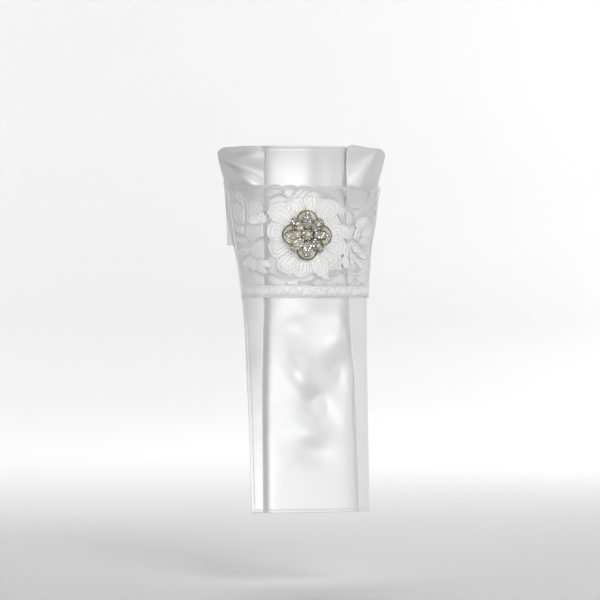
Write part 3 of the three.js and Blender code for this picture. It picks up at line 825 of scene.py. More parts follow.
def lace_place(flat, lift):
    """Flat places on the lace as 3-D points, lifted from its middle surface."""
    across, height = flat[..., 0], flat[..., 1]
    over = smoothstep(np.abs(across), 0, outline_at("fold", height))
    crest = np.where(across < 0, crest_lift(-1, across, height), crest_lift(1, across, height))
    return plastron(across, height, LACE_BACK + LACE_WALL / 2 + over * crest + lift)


def inside_lace(places, margin):
    across, height = places[:, 0], places[:, 1]
    share = lace_share(across, height)
    top = LACE_TOP - SCALLOP_DEPTH + lace_edge(share)
    bottom = LACE_BOTTOM + SCALLOP_DEPTH - lace_edge(share)
    within = np.abs(share) < 1 - margin / LACE_MEAN_HALF_WIDTH
    return within & (height < top - margin) & (height > bottom + margin)


def prisms(a, b, width, height, low=0.0):
    """Three-sided threads from the flat places a to b."""
    off = left_of(b - a) * width / 2
    corners = []
    for end in (a, b):
        corners.extend([lace_place(end + off, low), lace_place(end - off, low)])
        corners.append(lace_place(end, low + height))
    points = np.stack(corners, 1).reshape(-1, 3)
    base = 6 * np.arange(len(a))[:, None]
    sides = [[0, 3, 4, 1], [1, 4, 5, 2], [2, 5, 3, 0]]
    faces = np.concatenate([base + np.array(side)[None, :] for side in sides]).tolist()
    return points, faces


def net_threads():
    """The hexagonal ground, left out where close work covers it."""
    step = NET_CELL * math.sqrt(3) / 2
    columns = int(2 * LACE_SPAN / NET_CELL)
    rows = int((LACE_TOP - LACE_BOTTOM) / step) + 1
    i, j = np.meshgrid(np.arange(columns), np.arange(rows), indexing="ij")
    middles = flat_places(-LACE_SPAN + (i + 0.5 * (j % 2)) * NET_CELL, LACE_BOTTOM + j * step).reshape(-1, 2)
    corners = [middles + NET_CELL / math.sqrt(3) * direction(60 * k - 30) for k in range(4)]
    a, b = np.concatenate(corners[:-1]), np.concatenate(corners[1:])
    middle = (a + b) / 2
    keep = inside_lace(middle, NET_MARGIN) & ~under_close_work(middle)
    keep &= middle[:, 1] > LACE_BOTTOM + BORDER_CLOTH_HEIGHT
    height = NET_THREAD * NET_FLATNESS
    return prisms(a[keep], b[keep], NET_THREAD, height, -height / 2)


def motif_axis(motif):
    base = np.array([motif["x"], motif["z"]], float)
    way = np.array([motif["tip_x"], motif["tip_z"]], float) - base
    length = np.linalg.norm(way)
    way /= length
    return base, way, np.array([-way[1], way[0]]), length


def motif_half_width(motif, t):
    """Half width of a motif at a share t of its length: petals end broad and round, leaves end in a point."""
    if motif["half_width"] > LEAF_MOST:
        body = PETAL_FOOT + (1 - PETAL_FOOT) * smoothstep(t, 0, PETAL_SHOULDER)
        round_end = np.sqrt(np.maximum(0, 1 - ((t - PETAL_SHOULDER) / (1 - PETAL_SHOULDER)) ** 2))
        lobes = round(motif_axis(motif)[3] / RUFFLE_PITCH)
        ruffle = 1 - RUFFLE_DEPTH * (1 - np.abs(np.sin(math.pi * lobes * t)))
        return motif["half_width"] * np.where(t < PETAL_SHOULDER, body, round_end) * ruffle
    body = np.sin(math.pi * np.clip(t, 0, 1) ** LEAF_SHAPE["bulge"]) ** LEAF_SHAPE["fullness"]
    return motif["half_width"] * body


def motif_grid(motif, t, s):
    """Flat places at shares t along and s across a motif."""
    base, way, left, length = motif_axis(motif)
    spine = base + np.outer(t, way) * length + np.outer(motif["bend"] * np.sin(math.pi * t), left)
    half = motif_half_width(motif, t)
    return spine[:, None, :] + half[:, None, None] * s[None, :, None] * left[None, None, :]


def under_close_work(places):
    """Which places lie under a motif, some way in from its ends and edges."""
    covered = np.zeros(len(places), bool)
    for motif in PETALS + LEAVES:
        base, way, left, length = motif_axis(motif)
        t = np.clip((places - base) @ way / length, 0, 1)
        off = np.abs((places - base) @ left - motif["bend"] * np.sin(math.pi * t))
        within = (t > COVERED["from"]) & (t < COVERED["to"])
        covered |= within & (off < motif_half_width(motif, t) - COVERED["margin"])
    return covered


def close_work(motif, level):
    """A motif's close work: a thin crowned plate with rows of slanting stitches."""
    length = motif_axis(motif)[3]
    last = PETAL_END if motif["half_width"] > LEAF_MOST else LEAF_END
    t = np.linspace(MOTIF_START, last, max(6, round(length / STITCH_GRID)))
    s = np.linspace(-1, 1, 2 * max(3, round(motif["half_width"] / STITCH_GRID)) + 1)
    places = motif_grid(motif, t, s)
    turn = motif["x"] + motif["tip_z"]
    along = places[..., 0] * math.cos(turn) + places[..., 1] * math.sin(turn)
    top = CLOSE_WORK_CROWN * (1 - s ** 2)[None, :] + STITCH_DEPTH * np.cos(2 * math.pi * along / STITCH_ROW)
    return lace_plate(places, level + CLOSE_WORK_WALL / 2 + top, level - CLOSE_WORK_WALL / 2)


def lace_plate(places, top, bottom):
    """A thin closed plate on the lace over a grid of flat places."""
    ni, nj = places.shape[:2]
    points = np.vstack([lace_place(places, top).reshape(-1, 3), lace_place(places, bottom).reshape(-1, 3)])
    at = np.arange(ni * nj).reshape(ni, nj)
    quads = grid_quads(at)
    rim = np.concatenate([at[0, :], at[1:, -1], at[-1, :-1][::-1], at[1:-1, 0][::-1]])
    after = np.roll(rim, -1)
    walls = np.stack([rim, rim + ni * nj, after + ni * nj, after], -1)
    return points, outward(points, np.vstack([quads, quads[:, ::-1] + ni * nj, walls]).tolist())


def flat_cord(places, radius, lift, sides=5, closed=False):
    return tube(lace_place(places, lift), radius, sides, closed)


def hairpin(motif, t, across):
    """Flat places up one side of a motif and down the other, at shares t along and a share across."""
    sides = motif_grid(motif, t, np.array([-across, across]))
    return np.vstack([sides[:, 0], sides[::-1, 1]])


def motif_cords(motif, level):
    """The raised cord round a motif and a petal's veins."""
    count = max(8, round(motif_axis(motif)[3] / MOTIF_RIM["step"]))
    rim = hairpin(motif, np.linspace(MOTIF_RIM["from"], MOTIF_RIM["to"], count), 1.0)
    if motif["half_width"] < LEAF_MOST:
        yield flat_cord(rim, FINE_CORD, level + LEAF_RIM_LIFT, closed=True)
        return
    yield flat_cord(rim, CORD, level + RIM_LIFT, closed=True)
    for vein, points in ((OUTER_VEIN, count), (INNER_VEIN, INNER_VEIN["points"])):
        path = hairpin(motif, np.linspace(vein["from"], vein["to"], points), vein["across"])
        yield flat_cord(path, FINE_CORD, level + VEIN_LIFT)


def ring_cord(centre, radius, thickness, count):
    return flat_cord(np.asarray(centre) + radius * circle(count), thickness, RIM_LIFT, sides=4, closed=True)


def star(centre, reach):
    """A small flower of short bars round a ring."""
    for k in range(STAR["bars"]):
        way = direction(360 * k / STAR["bars"])
        path = np.array([np.array(centre) + way * out for out in (STAR["ring"], 0.6 * reach, reach)])
        yield flat_cord(path, STAR_BAR, RIM_LIFT)
    yield ring_cord(centre, STAR["ring"], RING_CORD, 10)


def picots(row):
    """Little loops side by side along a smooth line."""
    path = spline(row, PICOT_PATH_STEP)
    lengths = lengths_along(path)
    for at in np.arange(0, lengths[-1], PICOT_STEP):
        yield ring_cord(at_lengths(path, lengths, at), PICOT_RADIUS, PICOT_CORD, 8)


def edge_line(edge, inward, inset, depth, share):
    """Flat places on a line that follows a scalloped edge at a distance."""
    height = edge + inward * (SCALLOP_DEPTH + inset - depth * lace_edge(share) / SCALLOP_DEPTH)
    return flat_places(lace_across(share * BORDER_WIDTH_SHARE, height), height)


def edge_cords(edge, inward, cords, bars):
    """The cords along one scalloped edge and the bars between them."""
    share = np.linspace(-1, 1, BORDER_POINTS)
    for cord in cords:
        path = edge_line(edge, inward, cord["inset"], cord["depth"], share)
        yield flat_cord(path, cord["radius"], cord["lift"])
    share = np.linspace(-1, 1, bars["count"])
    start, end = (edge_line(edge, inward, *bars[side], share) for side in ("start", "end"))
    yield prisms(start, end, BAR, BAR)


def scallop_arches():
    turns = np.linspace(0, math.pi, 16)
    for middle in scallop_middles():
        for arch in ARCHES:
            height = LACE_BOTTOM + ARCH_FOOT + arch["rise"] * np.sin(turns)
            across = lace_across(middle + arch["reach"] * np.cos(turns), height)
            yield flat_cord(flat_places(across, height), FINE_CORD, ARCH_LIFT)
        height = LACE_BOTTOM + SCALLOP_STAR["height"]
        across = float(lace_across(middle + 1 / SCALLOPS, height))
        yield from star([across, height], SCALLOP_STAR["reach"])


def border_cloth():
    """The close-worked strip along the bottom edge, under its cords and fans."""
    share = np.linspace(-1, 1, 240)
    low = edge_line(LACE_BOTTOM, 1, BORDER_CLOTH["inset"], BORDER_CLOTH["scallop"], share)
    high = edge_line(LACE_BOTTOM, 1, BORDER_CLOTH_HEIGHT, 0, share)
    places = low[:, None] + np.linspace(0, 1, 24)[None, :, None] * (high - low)[:, None]
    stitches = BORDER_STITCH_DEPTH * np.cos(2 * math.pi * places[..., 1] / STITCH_ROW)
    return lace_plate(places, stitches + BORDER_CLOTH["top"], BORDER_CLOTH["bottom"])


def scallop_middles():
    """Shares across the lace at the middles of its whole scallops."""
    for k in range(-SCALLOPS // 2, SCALLOPS // 2):
        share = 2 * (k + 0.5 + SCALLOP_SHIFT) / SCALLOPS
        if abs(share) < SCALLOP_LAST:
            yield share


def under_petals():
    """A second ring of petals, lower down and between the first ones."""
    for before, after in zip(PETALS, PETALS[1:] + PETALS[:1]):
        petal = {key: (before[key] + after[key]) / 2 for key in before}
        petal["tip_x"] = petal["x"] + UNDER_PETAL_REACH * (petal["tip_x"] - petal["x"])
        petal["tip_z"] = petal["z"] + UNDER_PETAL_REACH * (petal["tip_z"] - petal["z"])
        yield petal


def border_fans():
    """Fans of little leaves, one in each scallop of the bottom edge."""
    for share in scallop_middles():
        foot_z = LACE_BOTTOM + FAN_FOOT
        foot = np.array([float(lace_across(share, foot_z)), foot_z])
        for turn in FAN_TURNS:
            base = foot + FAN_START * direction(turn)
            tip = base + FAN_REACH * direction(turn)
            yield from table(MOTIF_COLUMNS, (*base, *tip, FAN_LEAF_HALF_WIDTH, 0))


def side_hems():
    heights = np.linspace(LACE_BOTTOM + SIDE_HEM["inset"], LACE_TOP - SIDE_HEM["inset"], 60)
    for share in (-SIDE_HEM["share"], SIDE_HEM["share"]):
        yield flat_cord(flat_places(lace_across(share, heights), heights), EDGE_CORD, SIDE_HEM["lift"])


def tape(row):
    """Two cords side by side with bars between them, along a smooth line."""
    path = spline(row, TAPE_PATH_STEP)
    path = path[inside_lace(path, TAPE_HALF_WIDTH + TAPE_MARGIN)]
    off = left_of(np.gradient(path, axis=0)) * TAPE_HALF_WIDTH
    yield flat_cord(path + off, TAPE_CORD, RIM_LIFT)
    yield flat_cord(path - off, TAPE_CORD, RIM_LIFT)
    lengths = lengths_along(path)
    bars = np.arange(TAPE_START, lengths[-1], TAPE_STEP)
    yield prisms(at_lengths(path + off, lengths, bars), at_lengths(path - off, lengths, bars), **TAPE_BAR)


def ground_work():
    """Everything of the lace's ground but its net."""
    yield from edge_cords(LACE_TOP, -1, TOP_CORDS, TOP_BARS)
    yield border_cloth()
    yield from edge_cords(LACE_BOTTOM, 1, BOTTOM_CORDS, BOTTOM_BARS)
    yield from scallop_arches()
    yield from side_hems()
    for row in TAPES:
        yield from tape(row)
    for row in STEMS:
        path = spline(row, STEM["step"])
        yield flat_cord(path[inside_lace(path, STEM["margin"])], CORD, STEM["lift"])
    for row in PICOT_ROWS:
        yield from picots(row)
    for centre in STARS:
        yield from star(centre, STAR["reach"])


def flower_work():
    """The petals and leaves with their cords, the petals under them and the border's fans."""
    for number, motif in enumerate(PETALS + LEAVES):
        level = PETAL_STEP * (number % 2) if number < len(PETALS) else 0
        yield close_work(motif, level)
        yield from motif_cords(motif, level)
    for motif in under_petals():
        yield close_work(motif, UNDER_PETAL_LEVEL)
    for motif in border_fans():
        yield close_work(motif, 0)


def make_lace(thread, net_thread_painted_shade):
    threads = net_threads()
    points, faces = join([threads, *ground_work()])
    round_cords = np.arange(len(faces)) >= len(threads[1])
    # The net's faces take the greyer thread, which is painted shade; the cords take the lace's white thread.
    materials = [net_thread_painted_shade, thread]
    net = mesh_object("lace_ground", points, faces, materials, round_cords, round_cords.astype(int))
    work = mesh_object("lace_flowers", *join(flower_work()), [thread])
    for piece in (net, work):
        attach(piece, ROOT)
        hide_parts("lace_band")
    width = 2 * float(np.mean(lace_across(1.0, np.linspace(LACE_BOTTOM, LACE_TOP, 20))))


# Brooch

def brooch_matrix():
    seat = plastron(0, BROOCH_HEIGHT, LACE_BACK + LACE_WALL + BROOCH_CLEARANCE) * MM
    tilt = Matrix.Rotation(math.radians(90 - BROOCH_TILT_DEGREES), 4, "X")
    roll = Matrix.Rotation(math.radians(-BROOCH_ROLL_DEGREES), 4, "Z")
    return Matrix.Translation(Vector(seat.tolist())) @ tilt @ roll


def dome_rise(x, y):
    return BROOCH_DOME * (1 - (x * x + y * y) / BROOCH_REACH ** 2)


def on_dome(flat, height):
    """Flat brooch places, with a height above the dome, as points."""
    flat = np.asarray(flat, float)
    return np.stack([flat[..., 0], flat[..., 1], dome_rise(flat[..., 0], flat[..., 1]) + height], -1)


def turned(flat, turn):
    flat = np.asarray(flat, float)
    c, s = math.cos(turn), math.sin(turn)
    return np.stack([flat[..., 0] * c - flat[..., 1] * s, flat[..., 0] * s + flat[..., 1] * c], -1)


def quatrefoil(count, inset=0.0):
    """The brooch's outline, four round lobes joined by a circle, drawn in by an inset."""
    turn = np.linspace(0, 2 * math.pi, count, endpoint=False)
    off = turn - math.pi / 2 * np.round(turn / (math.pi / 2))
    root = (LOBE_RADIUS - inset) ** 2 - (LOBE_CENTRE * np.sin(off)) ** 2
    lobe = LOBE_CENTRE * np.cos(off) + np.sqrt(np.maximum(0, root))
    radius = np.maximum(np.where(root > 0, lobe, 0), WAIST_RADIUS - inset)
    return np.stack([radius * np.cos(turn), radius * np.sin(turn)], -1)


def leaf_outline(leaf, turn, inset, steps):
    start, end = leaf["start"] + inset, leaf["end"] - inset
    t = np.linspace(0, 1, steps + 1)
    half = (leaf["half_width"] - inset) * np.sin(math.pi * t ** leaf["bulge"]) ** leaf["fullness"]
    half[-1] = 0
    along = start + (end - start) * t
    edge = np.stack([along, half], -1)
    lower = np.stack([along, -half], -1)[1:-1][::-1]
    return turned(np.vstack([edge, lower]), turn)


def wire(flat, height, radius, sides=6, flatten=1.0):
    """A closed wire on the dome through flat places."""
    return tube(on_dome(flat, height), radius, sides, closed=True, flatten=flatten, up=(0, 0, 1))


def dome_plate(outline, bottom, top):
    """A plate with a closed outline, as rings from the outline in to its middle."""
    centre = outline.mean(0)
    count = len(outline)
    rings = [on_dome(centre + (outline - centre) * share, top) for share in (1.0, 0.66, 0.33)]
    rings += [on_dome(centre[None], top), on_dome(outline, bottom), on_dome(centre[None], bottom)]
    points = np.vstack(rings)
    middle = 3 * count
    below = middle + 1
    faces = [*ring_quads(0, count, count), *ring_quads(count, 2 * count, count)]
    for i in range(count):
        j = (i + 1) % count
        faces.append([2 * count + i, 2 * count + j, middle])
        faces.append([below + j, below + i, below + count])
        faces.append([i, below + i, below + j, j])
    return points, outward(points, faces)


def bead(centre, radius, rings=3, sides=6):
    """A small round grain of metal."""
    points = [[0, 0, -radius]]
    faces = []
    for r in range(1, rings + 1):
        phi = math.pi * r / (rings + 1)
        for k in range(sides):
            x, y = radius * math.sin(phi) * direction(360 * (k + 0.5 * (r % 2)) / sides)
            points.append([x, y, -radius * math.cos(phi)])
        if r < rings:
            faces.extend(ring_quads(1 + (r - 1) * sides, 1 + r * sides, sides))
    points.append([0, 0, radius])
    top = 1 + (rings - 1) * sides
    for k in range(sides):
        after = (k + 1) % sides
        faces.append([0, 1 + after, 1 + k])
        faces.append([top + k, top + after, len(points) - 1])
    points = np.array(points) + np.asarray(centre, float)
    return points, outward(points, faces)


def brilliant(centre, radius, crown, tip):
    """A round brilliant: table, star, kite and girdle facets above a pointed back, tipped by a small turn."""
    sides = STONE_SIDES
    points = []
    for row in STONE_CORNERS:
        for k in range(row["count"]):
            x, y = radius * row["out"] * direction(360 * (k + row["shift"]) / row["count"])
            points.append([x, y, radius * crown * row["up"]])
    points.append([0, 0, -STONE_BACK * radius])
    faces = [list(range(sides))]
    upper, lower, point = 2 * sides, 4 * sides, 6 * sides
    for k in range(sides):
        after = (k + 1) % sides
        left, middle, right = 2 * k, 2 * k + 1, (2 * k + 2) % (2 * sides)
        faces.append([k, sides + k, after])
        faces.append([after, sides + k, upper + right, sides + after])
        for a, b in ((left, middle), (middle, right)):
            faces.append([sides + k, upper + a, upper + b])
            faces.append([upper + a, lower + a, lower + b, upper + b])
            faces.append([lower + a, point, lower + b])
    turn = Matrix.Rotation(tip[0], 3, "X") @ Matrix.Rotation(tip[1], 3, "Y")
    points = np.array(points) @ np.array(turn).T + np.asarray(centre, float)
    return points, faces


def make_brooch_piece(name, parts, material, smooth):
    """A piece of the brooch; every loose shell's faces are turned out."""
    piece = mesh_object(name, *join(parts), [material], smooth)
    piece.data.transform(brooch_matrix())
    work = bmesh.new()
    work.from_mesh(piece.data)
    bmesh.ops.recalc_face_normals(work, faces=work.faces)
    work.to_mesh(piece.data)
    work.free()
    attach(piece, ROOT)
    return piece


def leaves():
    for quarter in range(4):
        turn = quarter * math.pi / 2
        yield MAIN_LEAF, turn
        yield DIAGONAL_LEAF, turn + math.pi / 4


def in_a_leaf(place, margin):
    """Whether a flat place lies in one of the brooch's leaves, at least a margin inside its edge."""
    for leaf, turn in leaves():
        along, across = turned(place, -turn)
        t = (along - leaf["start"]) / (leaf["end"] - leaf["start"])
        if 0 < t < 1:
            half = leaf["half_width"] * math.sin(math.pi * t ** leaf["bulge"]) ** leaf["fullness"]
            if abs(across) < half - margin:
                return True
    return False


def small_stones(chance):
    """Place and radius of every smaller stone: rows over the leaves and a ring around the centre."""
    corners = [CORNER_STONE["along"] * direction(90 * k + 45) for k in range(4)]
    rows = int(BROOCH_REACH / STONE_PITCH) + 2
    for j in range(-rows, rows + 1):
        for i in range(-rows, rows + 1):
            place = STONE_PITCH * np.array([i + 0.5 * (j % 2), j * math.sqrt(3) / 2])
            off_boss = np.linalg.norm(place) > BOSS_RADIUS + STONE_BOSS_GAP
            clear = min(np.linalg.norm(place - corner) for corner in corners) - CORNER_STONE["radius"]
            if off_boss and clear > STONE_GAP and in_a_leaf(place, STONE_GAP):
                yield place, chance.uniform(STONE_RADIUS["least"], STONE_RADIUS["most"])
    for k in range(CENTRE_RING["count"]):
        yield CENTRE_RING["ring"] * direction(360 * (k + 0.5) / CENTRE_RING["count"]), CENTRE_RING["radius"]


def crescent_rings():
    """Small wire rings side by side along the inside of the outer wire, where no leaf lies."""
    line = quatrefoil(400, CRESCENT_RING["inset"])
    lengths = lengths_along(line)
    for at in np.arange(0, lengths[-1], CRESCENT_RING["step"]):
        place = at_lengths(line, lengths, at)
        if not in_a_leaf(place, CRESCENT_RING["leaf_gap"]):
            yield wire(place + CRESCENT_RING["radius"] * circle(12), **RING_WIRE)


def set_stones():
    """The small stones and the grains of metal that hold them."""
    chance = np.random.default_rng(STONE_SEED)
    stones, grains = [], []
    for place, radius in small_stones(chance):
        tip = chance.uniform(-STONE_TIP, STONE_TIP, 2)
        stones.append(brilliant(on_dome(place, STONE_BASE), radius, STONE_CROWN, tip))
        for k in range(4):
            grain = place + radius * GRAIN["along"] * direction(90 * k + 45)
            grains.append(bead(on_dome(grain, STONE_BASE + GRAIN["rise"]), GRAIN["radius"], rings=2, sides=5))
    return stones, grains


def make_brooch(metal, rim_metal_and_painted_shade, cream_painted_light, recess_patina_and_painted_shade, crystal):
    ring = circle(BOSS_POINTS)
    rims = [wire(quatrefoil(QUATREFOIL_POINTS), **OUTER_WIRE)]
    plates = []
    for leaf, turn in leaves():
        rim = leaf_outline(leaf, turn, LEAF_PLATE["inset"], LEAF_STEPS)
        plates.append(dome_plate(rim, LEAF_PLATE["bottom"], PLATE_TOP))
        rims.append(wire(rim, **LEAF_WIRE))
    plates.append(dome_plate(ring * BOSS_RADIUS, BOSS_BOTTOM, BOSS_TOP))
    rims.append(wire(ring * (BOSS_RADIUS - BOSS_WIRE_INSET), **BOSS_WIRE))
    bezel = wire(ring * (CENTRE_STONE_RADIUS + BEZEL_GAP), **BEZEL_WIRE)
    crescents = [wire(quatrefoil(QUATREFOIL_POINTS, inset), **CRESCENT_WIRE) for inset in CRESCENT_INSETS]
    stones, grains = set_stones()
    # The rims take the dark copy of the gold: antique tone and painted shade.
    setting = make_brooch_piece("brooch_rims", rims, rim_metal_and_painted_shade, True)
    make_brooch_piece("brooch_wires", [bezel, *grains], metal, True)
    # The crescents' wires and rings take the cream copy of the gold, which is painted light.
    make_brooch_piece("brooch_crescents", [*crescent_rings(), *crescents], cream_painted_light, True)
    # The plates take the dark copy of the gold: patina and painted shade.
    make_brooch_piece("brooch_plates", plates, recess_patina_and_painted_shade, False)
    make_brooch_piece("brooch_small_stones", stones, crystal, False)
    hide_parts("brooch_setting")


def claws(place, radius, base):
    """Four claws that lean in over a stone's edge, with a round tip each."""
    for k in range(4):
        way = direction(90 * k + 45)
        foot = on_dome(place + way * radius * CLAW["foot"], base - CLAW["drop"])
        tip = on_dome(place + way * radius * CLAW["tip"], base + CLAW["rise"] * radius)
        path = [foot, (foot + tip) / 2 + [0, 0, CLAW["bow"]], tip]
        yield tube(path, CLAW["wire"], 6, up=(way[1], -way[0], 0.01))
        yield bead(tip, CLAW["bead"])


def make_large_stone(node, place, radius, base, metal, crystal):
    centre = on_dome(place, base + LARGE_STONE["rise"] * radius)
    cut = brilliant(centre, radius, LARGE_STONE["crown"], LARGE_STONE["tip"])
    stone = make_brooch_piece(node + "_cut", [cut], crystal, False)
    make_brooch_piece(node + "_claws", claws(place, radius, base), metal, True)
    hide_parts(node)


# Materials

def new_material(name, base, roughness, metallic=0.0):
    material = bpy.data.materials.new(name)
    material.use_nodes = True
    shader = material.node_tree.nodes["Principled BSDF"]
    shader.inputs["Base Color"].default_value = (*base, 1)
    shader.inputs["Roughness"].default_value = roughness
    shader.inputs["Metallic"].default_value = metallic
    material.diffuse_color = (*base, 1)
    return material, shader


def add_node(material, kind, **values):
    node = material.node_tree.nodes.new(kind)
    for name, value in values.items():
        if name in node.inputs:
            node.inputs[name].default_value = value
        else:
            setattr(node, name, value)
    return node


def add_texture(material, kind, stretch=None, **values):
    """A texture, or another node that takes places, in the piece's own coordinates, stretched where asked."""
    links = material.node_tree.links
    node = add_node(material, kind, **values)
    place = add_node(material, "ShaderNodeTexCoord").outputs["Object"]
    if stretch:
        mapping = add_node(material, "ShaderNodeMapping", Scale=stretch)
        links.new(place, mapping.inputs["Vector"])
        place = mapping.outputs["Vector"]
    links.new(place, node.inputs["Vector"])
    return node


def add_bump(material, height, strength, distance):
    """Bumps the surface by a height, on top of any bump that it has already."""
    links = material.node_tree.links
    bump = add_node(material, "ShaderNodeBump", Strength=strength, Distance=distance)
    links.new(height, bump.inputs["Height"])
    normal = material.node_tree.nodes["Principled BSDF"].inputs["Normal"]
    if normal.is_linked:
        links.new(normal.links[0].from_socket, bump.inputs["Normal"])
    links.new(bump.outputs["Normal"], normal)


def add_colours(material, value, low, high, low_at=0.0, high_at=1.0):
    """Colours the surface from low to high by a value."""
    links = material.node_tree.links
    ramp = add_node(material, "ShaderNodeValToRGB")
    for element, colour, at in zip(ramp.color_ramp.elements, (low, high), (low_at, high_at)):
        element.color = (*colour, 1)
        element.position = at
    links.new(value, ramp.inputs["Fac"])
    links.new(ramp.outputs["Color"], material.node_tree.nodes["Principled BSDF"].inputs["Base Color"])


def satin_material():
    material, shader = new_material("satin", (0.9, 0.9, 0.905), 0.4, 0.6)
    shader.inputs["Sheen Weight"].default_value = 0.15
    shader.inputs["Sheen Roughness"].default_value = 0.4
    shader.inputs["Anisotropic"].default_value = 0.3
    links = material.node_tree.links
    threads = add_texture(material, "ShaderNodeTexNoise", stretch=(1.0, 1.0, 0.25), Scale=2600.0, Detail=2.0)
    slubs = add_texture(material, "ShaderNodeTexNoise", Scale=90.0, Detail=3.0)
    add_bump(material, threads.outputs["Fac"], 0.06, 0.0002)
    add_bump(material, slubs.outputs["Fac"], 0.12, 0.001)
    rough = add_node(material, "ShaderNodeMapRange")
    rough.inputs["To Min"].default_value = 0.44
    rough.inputs["To Max"].default_value = 0.54
    links.new(slubs.outputs["Fac"], rough.inputs["Value"])
    links.new(rough.outputs["Result"], shader.inputs["Roughness"])
    return material


def lace_material(name, colour, metallic):
    material, shader = new_material(name, colour, 0.5, metallic)
    shader.inputs["Sheen Weight"].default_value = 0.3
    stitches = add_texture(material, "ShaderNodeTexNoise", Scale=1500.0, Detail=2.0)
    add_bump(material, stitches.outputs["Fac"], 0.3, 0.0003)
    return material


def fastener_material():
    material, _ = new_material("hook_and_loop", (0.82, 0.82, 0.82), 0.95)
    loops = add_texture(material, "ShaderNodeTexVoronoi", Scale=1100.0)
    add_bump(material, loops.outputs["Distance"], 0.8, 0.0006)
    return material


def metal_material(name, bright, dark, roughness):
    material, _ = new_material(name, bright, roughness, 1.0)
    tarnish = add_texture(material, "ShaderNodeTexNoise", Scale=420.0, Detail=3.0)
    add_colours(material, tarnish.outputs["Fac"], dark, bright, 0.38, 0.58)
    return material


def crystal_material():
    material, shader = new_material("crystal", (0.86, 0.87, 0.89), 0.12, 0.5)
    shader.inputs["IOR"].default_value = 1.7
    # Colours from near black to white over small cells: painted reflections and glints on the stones' facets.
    painted_facet_glints = add_texture(material, "ShaderNodeTexVoronoi", Scale=800.0)
    add_colours(material, painted_facet_glints.outputs["Distance"], (0.03, 0.03, 0.03), (0.93, 0.93, 0.95), 0.0, 0.45)
    return material


# Stage, light and camera

PIXEL = 0.9
NECK_AXIS_PIXEL = 294
IMAGE_MIDDLE_PIXEL = 300
ORIGIN_ROW_PIXEL = 248
CAMERA_AZIMUTH_DEGREES = -9.5
CAMERA_DISTANCE = 2000.0
SENSOR = 36.0
FLOOR_Z = -0.30
# The stage is white behind the object and grey in front, so that it doesn't light the folds flat
STAGE_WHITE = (0.94, 0.94, 0.94)
STAGE_GREY = (0.42, 0.42, 0.42)
STAGE_GREY_FROM = -1.5
STAGE_WHITE_FROM = -0.3
STAGE_SIDES = 96
STAGE_PROFILE = table("radius height", (2, 0), (2.4, 0.05), (2.75, 0.2), (2.95, 0.5), (3, 1), (3, 3.2))


def stage_material():
    material, _ = new_material("stage_white", STAGE_WHITE, 0.9)
    links = material.node_tree.links
    split = add_texture(material, "ShaderNodeSeparateXYZ")
    shade = add_node(material, "ShaderNodeMapRange")
    shade.inputs["From Min"].default_value = STAGE_GREY_FROM
    shade.inputs["From Max"].default_value = STAGE_WHITE_FROM
    links.new(split.outputs["Y"], shade.inputs["Value"])
    add_colours(material, shade.outputs["Result"], STAGE_GREY, STAGE_WHITE)
    return material


def make_stage():
    """A round floor that curves up into a wall."""
    points = [[0, 0, FLOOR_Z]]
    faces = [[0, 1 + k, 1 + (k + 1) % STAGE_SIDES] for k in range(STAGE_SIDES)]
    for row in STAGE_PROFILE:
        start = len(points)
        points.extend([x, y, FLOOR_Z + row["height"]] for x, y in row["radius"] * circle(STAGE_SIDES))
        if start > 1:
            faces.extend(ring_quads(start, start - STAGE_SIDES, STAGE_SIDES))
    stage = mesh_object("stage", np.array(points) / MM, faces, [stage_material()])


LIGHT_DISTANCE = 2.2
SKY_COLOUR = (0.95, 0.97, 1, 1)
SKY_STRENGTH = 0.03
STUDIO_LIGHTS = table(
    "name azimuth elevation size watts",
    ("key", 20, 40, 0.9, 9.8),
    ("front", -9, 1, 1.1, 16.4),
    ("right", 50, 8, 0.9, 4.6),
    ("rear", 160, 35, 1.2, 8),
)
BACKDROP_LIGHTS = table(
    "name place target size watts",
    ("backdrop_floor", (0, 0.9, 1.9), (0, 0.6, -0.3), 1.4, 10),
    ("backdrop_left", (-1.5, 1.3, 0.9), (-0.6, 3.0, 0.1), 1.0, 14),
    ("backdrop_right", (1.5, 1.3, 0.9), (0.6, 3.0, 0.1), 1.0, 14),
)


def area_light(name, place, target, size, watts):
    data = bpy.data.lights.new(name, "AREA")
    data.size = size
    data.energy = watts
    light = bpy.data.objects.new(name, data)
    light.location = place
    way = Vector(target) - Vector(place)
    light.rotation_euler = way.to_track_quat("-Z", "Y").to_euler()
    light.visible_camera = False
    bpy.context.scene.collection.objects.link(light)


def make_lights():
    for row in STUDIO_LIGHTS:
        azimuth, elevation = math.radians(row["azimuth"]), math.radians(row["elevation"])
        level = math.cos(elevation)
        way = Vector((math.sin(azimuth) * level, -math.cos(azimuth) * level, math.sin(elevation)))
        area_light(row["name"], way * LIGHT_DISTANCE, (0, 0, 0), row["size"], row["watts"])
    for row in BACKDROP_LIGHTS:
        area_light(row["name"], row["place"], row["target"], row["size"], row["watts"])
    world = bpy.data.worlds.new("studio")
    bpy.context.scene.world = world
    world.use_nodes = True
    background = world.node_tree.nodes["Background"]
    background.inputs["Color"].default_value = SKY_COLOUR
    background.inputs["Strength"].default_value = SKY_STRENGTH
    bpy.context.scene.view_settings.view_transform = "Standard"


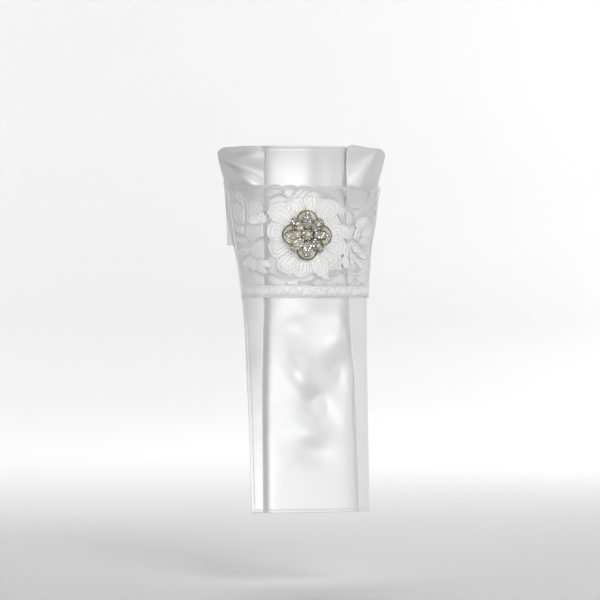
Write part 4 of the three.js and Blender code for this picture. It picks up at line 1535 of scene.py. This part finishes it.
def make_camera():
    azimuth = math.radians(CAMERA_AZIMUTH_DEGREES)
    right = Vector((math.cos(azimuth), math.sin(azimuth), 0))
    back = Vector((math.sin(azimuth), -math.cos(azimuth), 0))
    aside = (IMAGE_MIDDLE_PIXEL - NECK_AXIS_PIXEL) * PIXEL
    height = (ORIGIN_ROW_PIXEL - IMAGE_MIDDLE_PIXEL) * PIXEL
    data = bpy.data.cameras.new("camera")
    data.sensor_width = SENSOR
    data.lens = SENSOR * CAMERA_DISTANCE / (2 * IMAGE_MIDDLE_PIXEL * PIXEL)
    data.clip_end = 50
    camera = bpy.data.objects.new("camera", data)
    camera.location = (right * aside + back * (CAMERA_DISTANCE + FRONT_DEPTH) + Vector((0, 0, height))) * MM
    camera.rotation_euler = (-back).to_track_quat("-Z", "Y").to_euler()
    bpy.context.scene.collection.objects.link(camera)
    bpy.context.scene.camera = camera


make_camera()
make_stage()
make_lights()

SATIN = satin_material()
LACE = lace_material("lace_thread", (0.98, 0.977, 0.972), 0.6)
# The net's thread gets a greyer white than the lace's other thread: painted shade for the shadow in the net's
# small gaps.
SHADED_NET = lace_material("net_thread_painted_shade", (0.88, 0.88, 0.88), 0.6)
METAL = metal_material("pale_gold", (0.84, 0.78, 0.6), (0.4, 0.35, 0.24), 0.25)
# A much darker copy of the gold for the rims: an antique tone, and painted shade for the dark shadow lines
# along the rims.
RIM_GOLD_AND_PAINTED_SHADE = metal_material("antique_gold_and_painted_shade", (0.36, 0.32, 0.2), (0.1, 0.085, 0.05), 0.3)
# A paler, cream copy of the gold for the crescents' wires: painted light that stands in for the lit satin
# seen through the crescents.
CREAM_GOLD_PAINTED_LIGHT = metal_material("cream_gold_painted_light", (1.0, 0.98, 0.84), (0.88, 0.84, 0.66), 0.35)
# A dark copy of the gold for the plates under the stones: antique patina in the recesses, and painted shade
# for the shadow that falls there.
RECESS_PATINA_AND_SHADE = metal_material("antiqued_recess_and_painted_shade", (0.5, 0.45, 0.33), (0.16, 0.135, 0.09), 0.4)
CRYSTAL = crystal_material()

make_centre_panel(SATIN)
make_pleat("satin_left_pleat", "left_pleat", -1, LEFT_WING_TOP, SATIN)
make_pleat("satin_right_pleat", "right_pleat", 1, RIGHT_WING_TOP, SATIN)
make_neck_band(SATIN)
make_lace(LACE, SHADED_NET)
make_brooch(METAL, RIM_GOLD_AND_PAINTED_SHADE, CREAM_GOLD_PAINTED_LIGHT, RECESS_PATINA_AND_SHADE, CRYSTAL)
make_large_stone("brooch_centre_stone", (0, 0), CENTRE_STONE_RADIUS, BOSS_TOP + GAP, METAL, CRYSTAL)
for quarter in range(4):
    corner = CORNER_STONE["along"] * direction(90 * quarter + 45)
    node = f"brooch_corner_stone_{quarter + 1}"
    make_large_stone(node, corner, CORNER_STONE["radius"], PLATE_TOP + 2 * GAP, METAL, CRYSTAL)
for node, material in (("band_fastener", fastener_material()), ("brooch_pin", METAL)):
    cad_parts[node].data.materials.clear()
    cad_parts[node].data.materials.append(material)
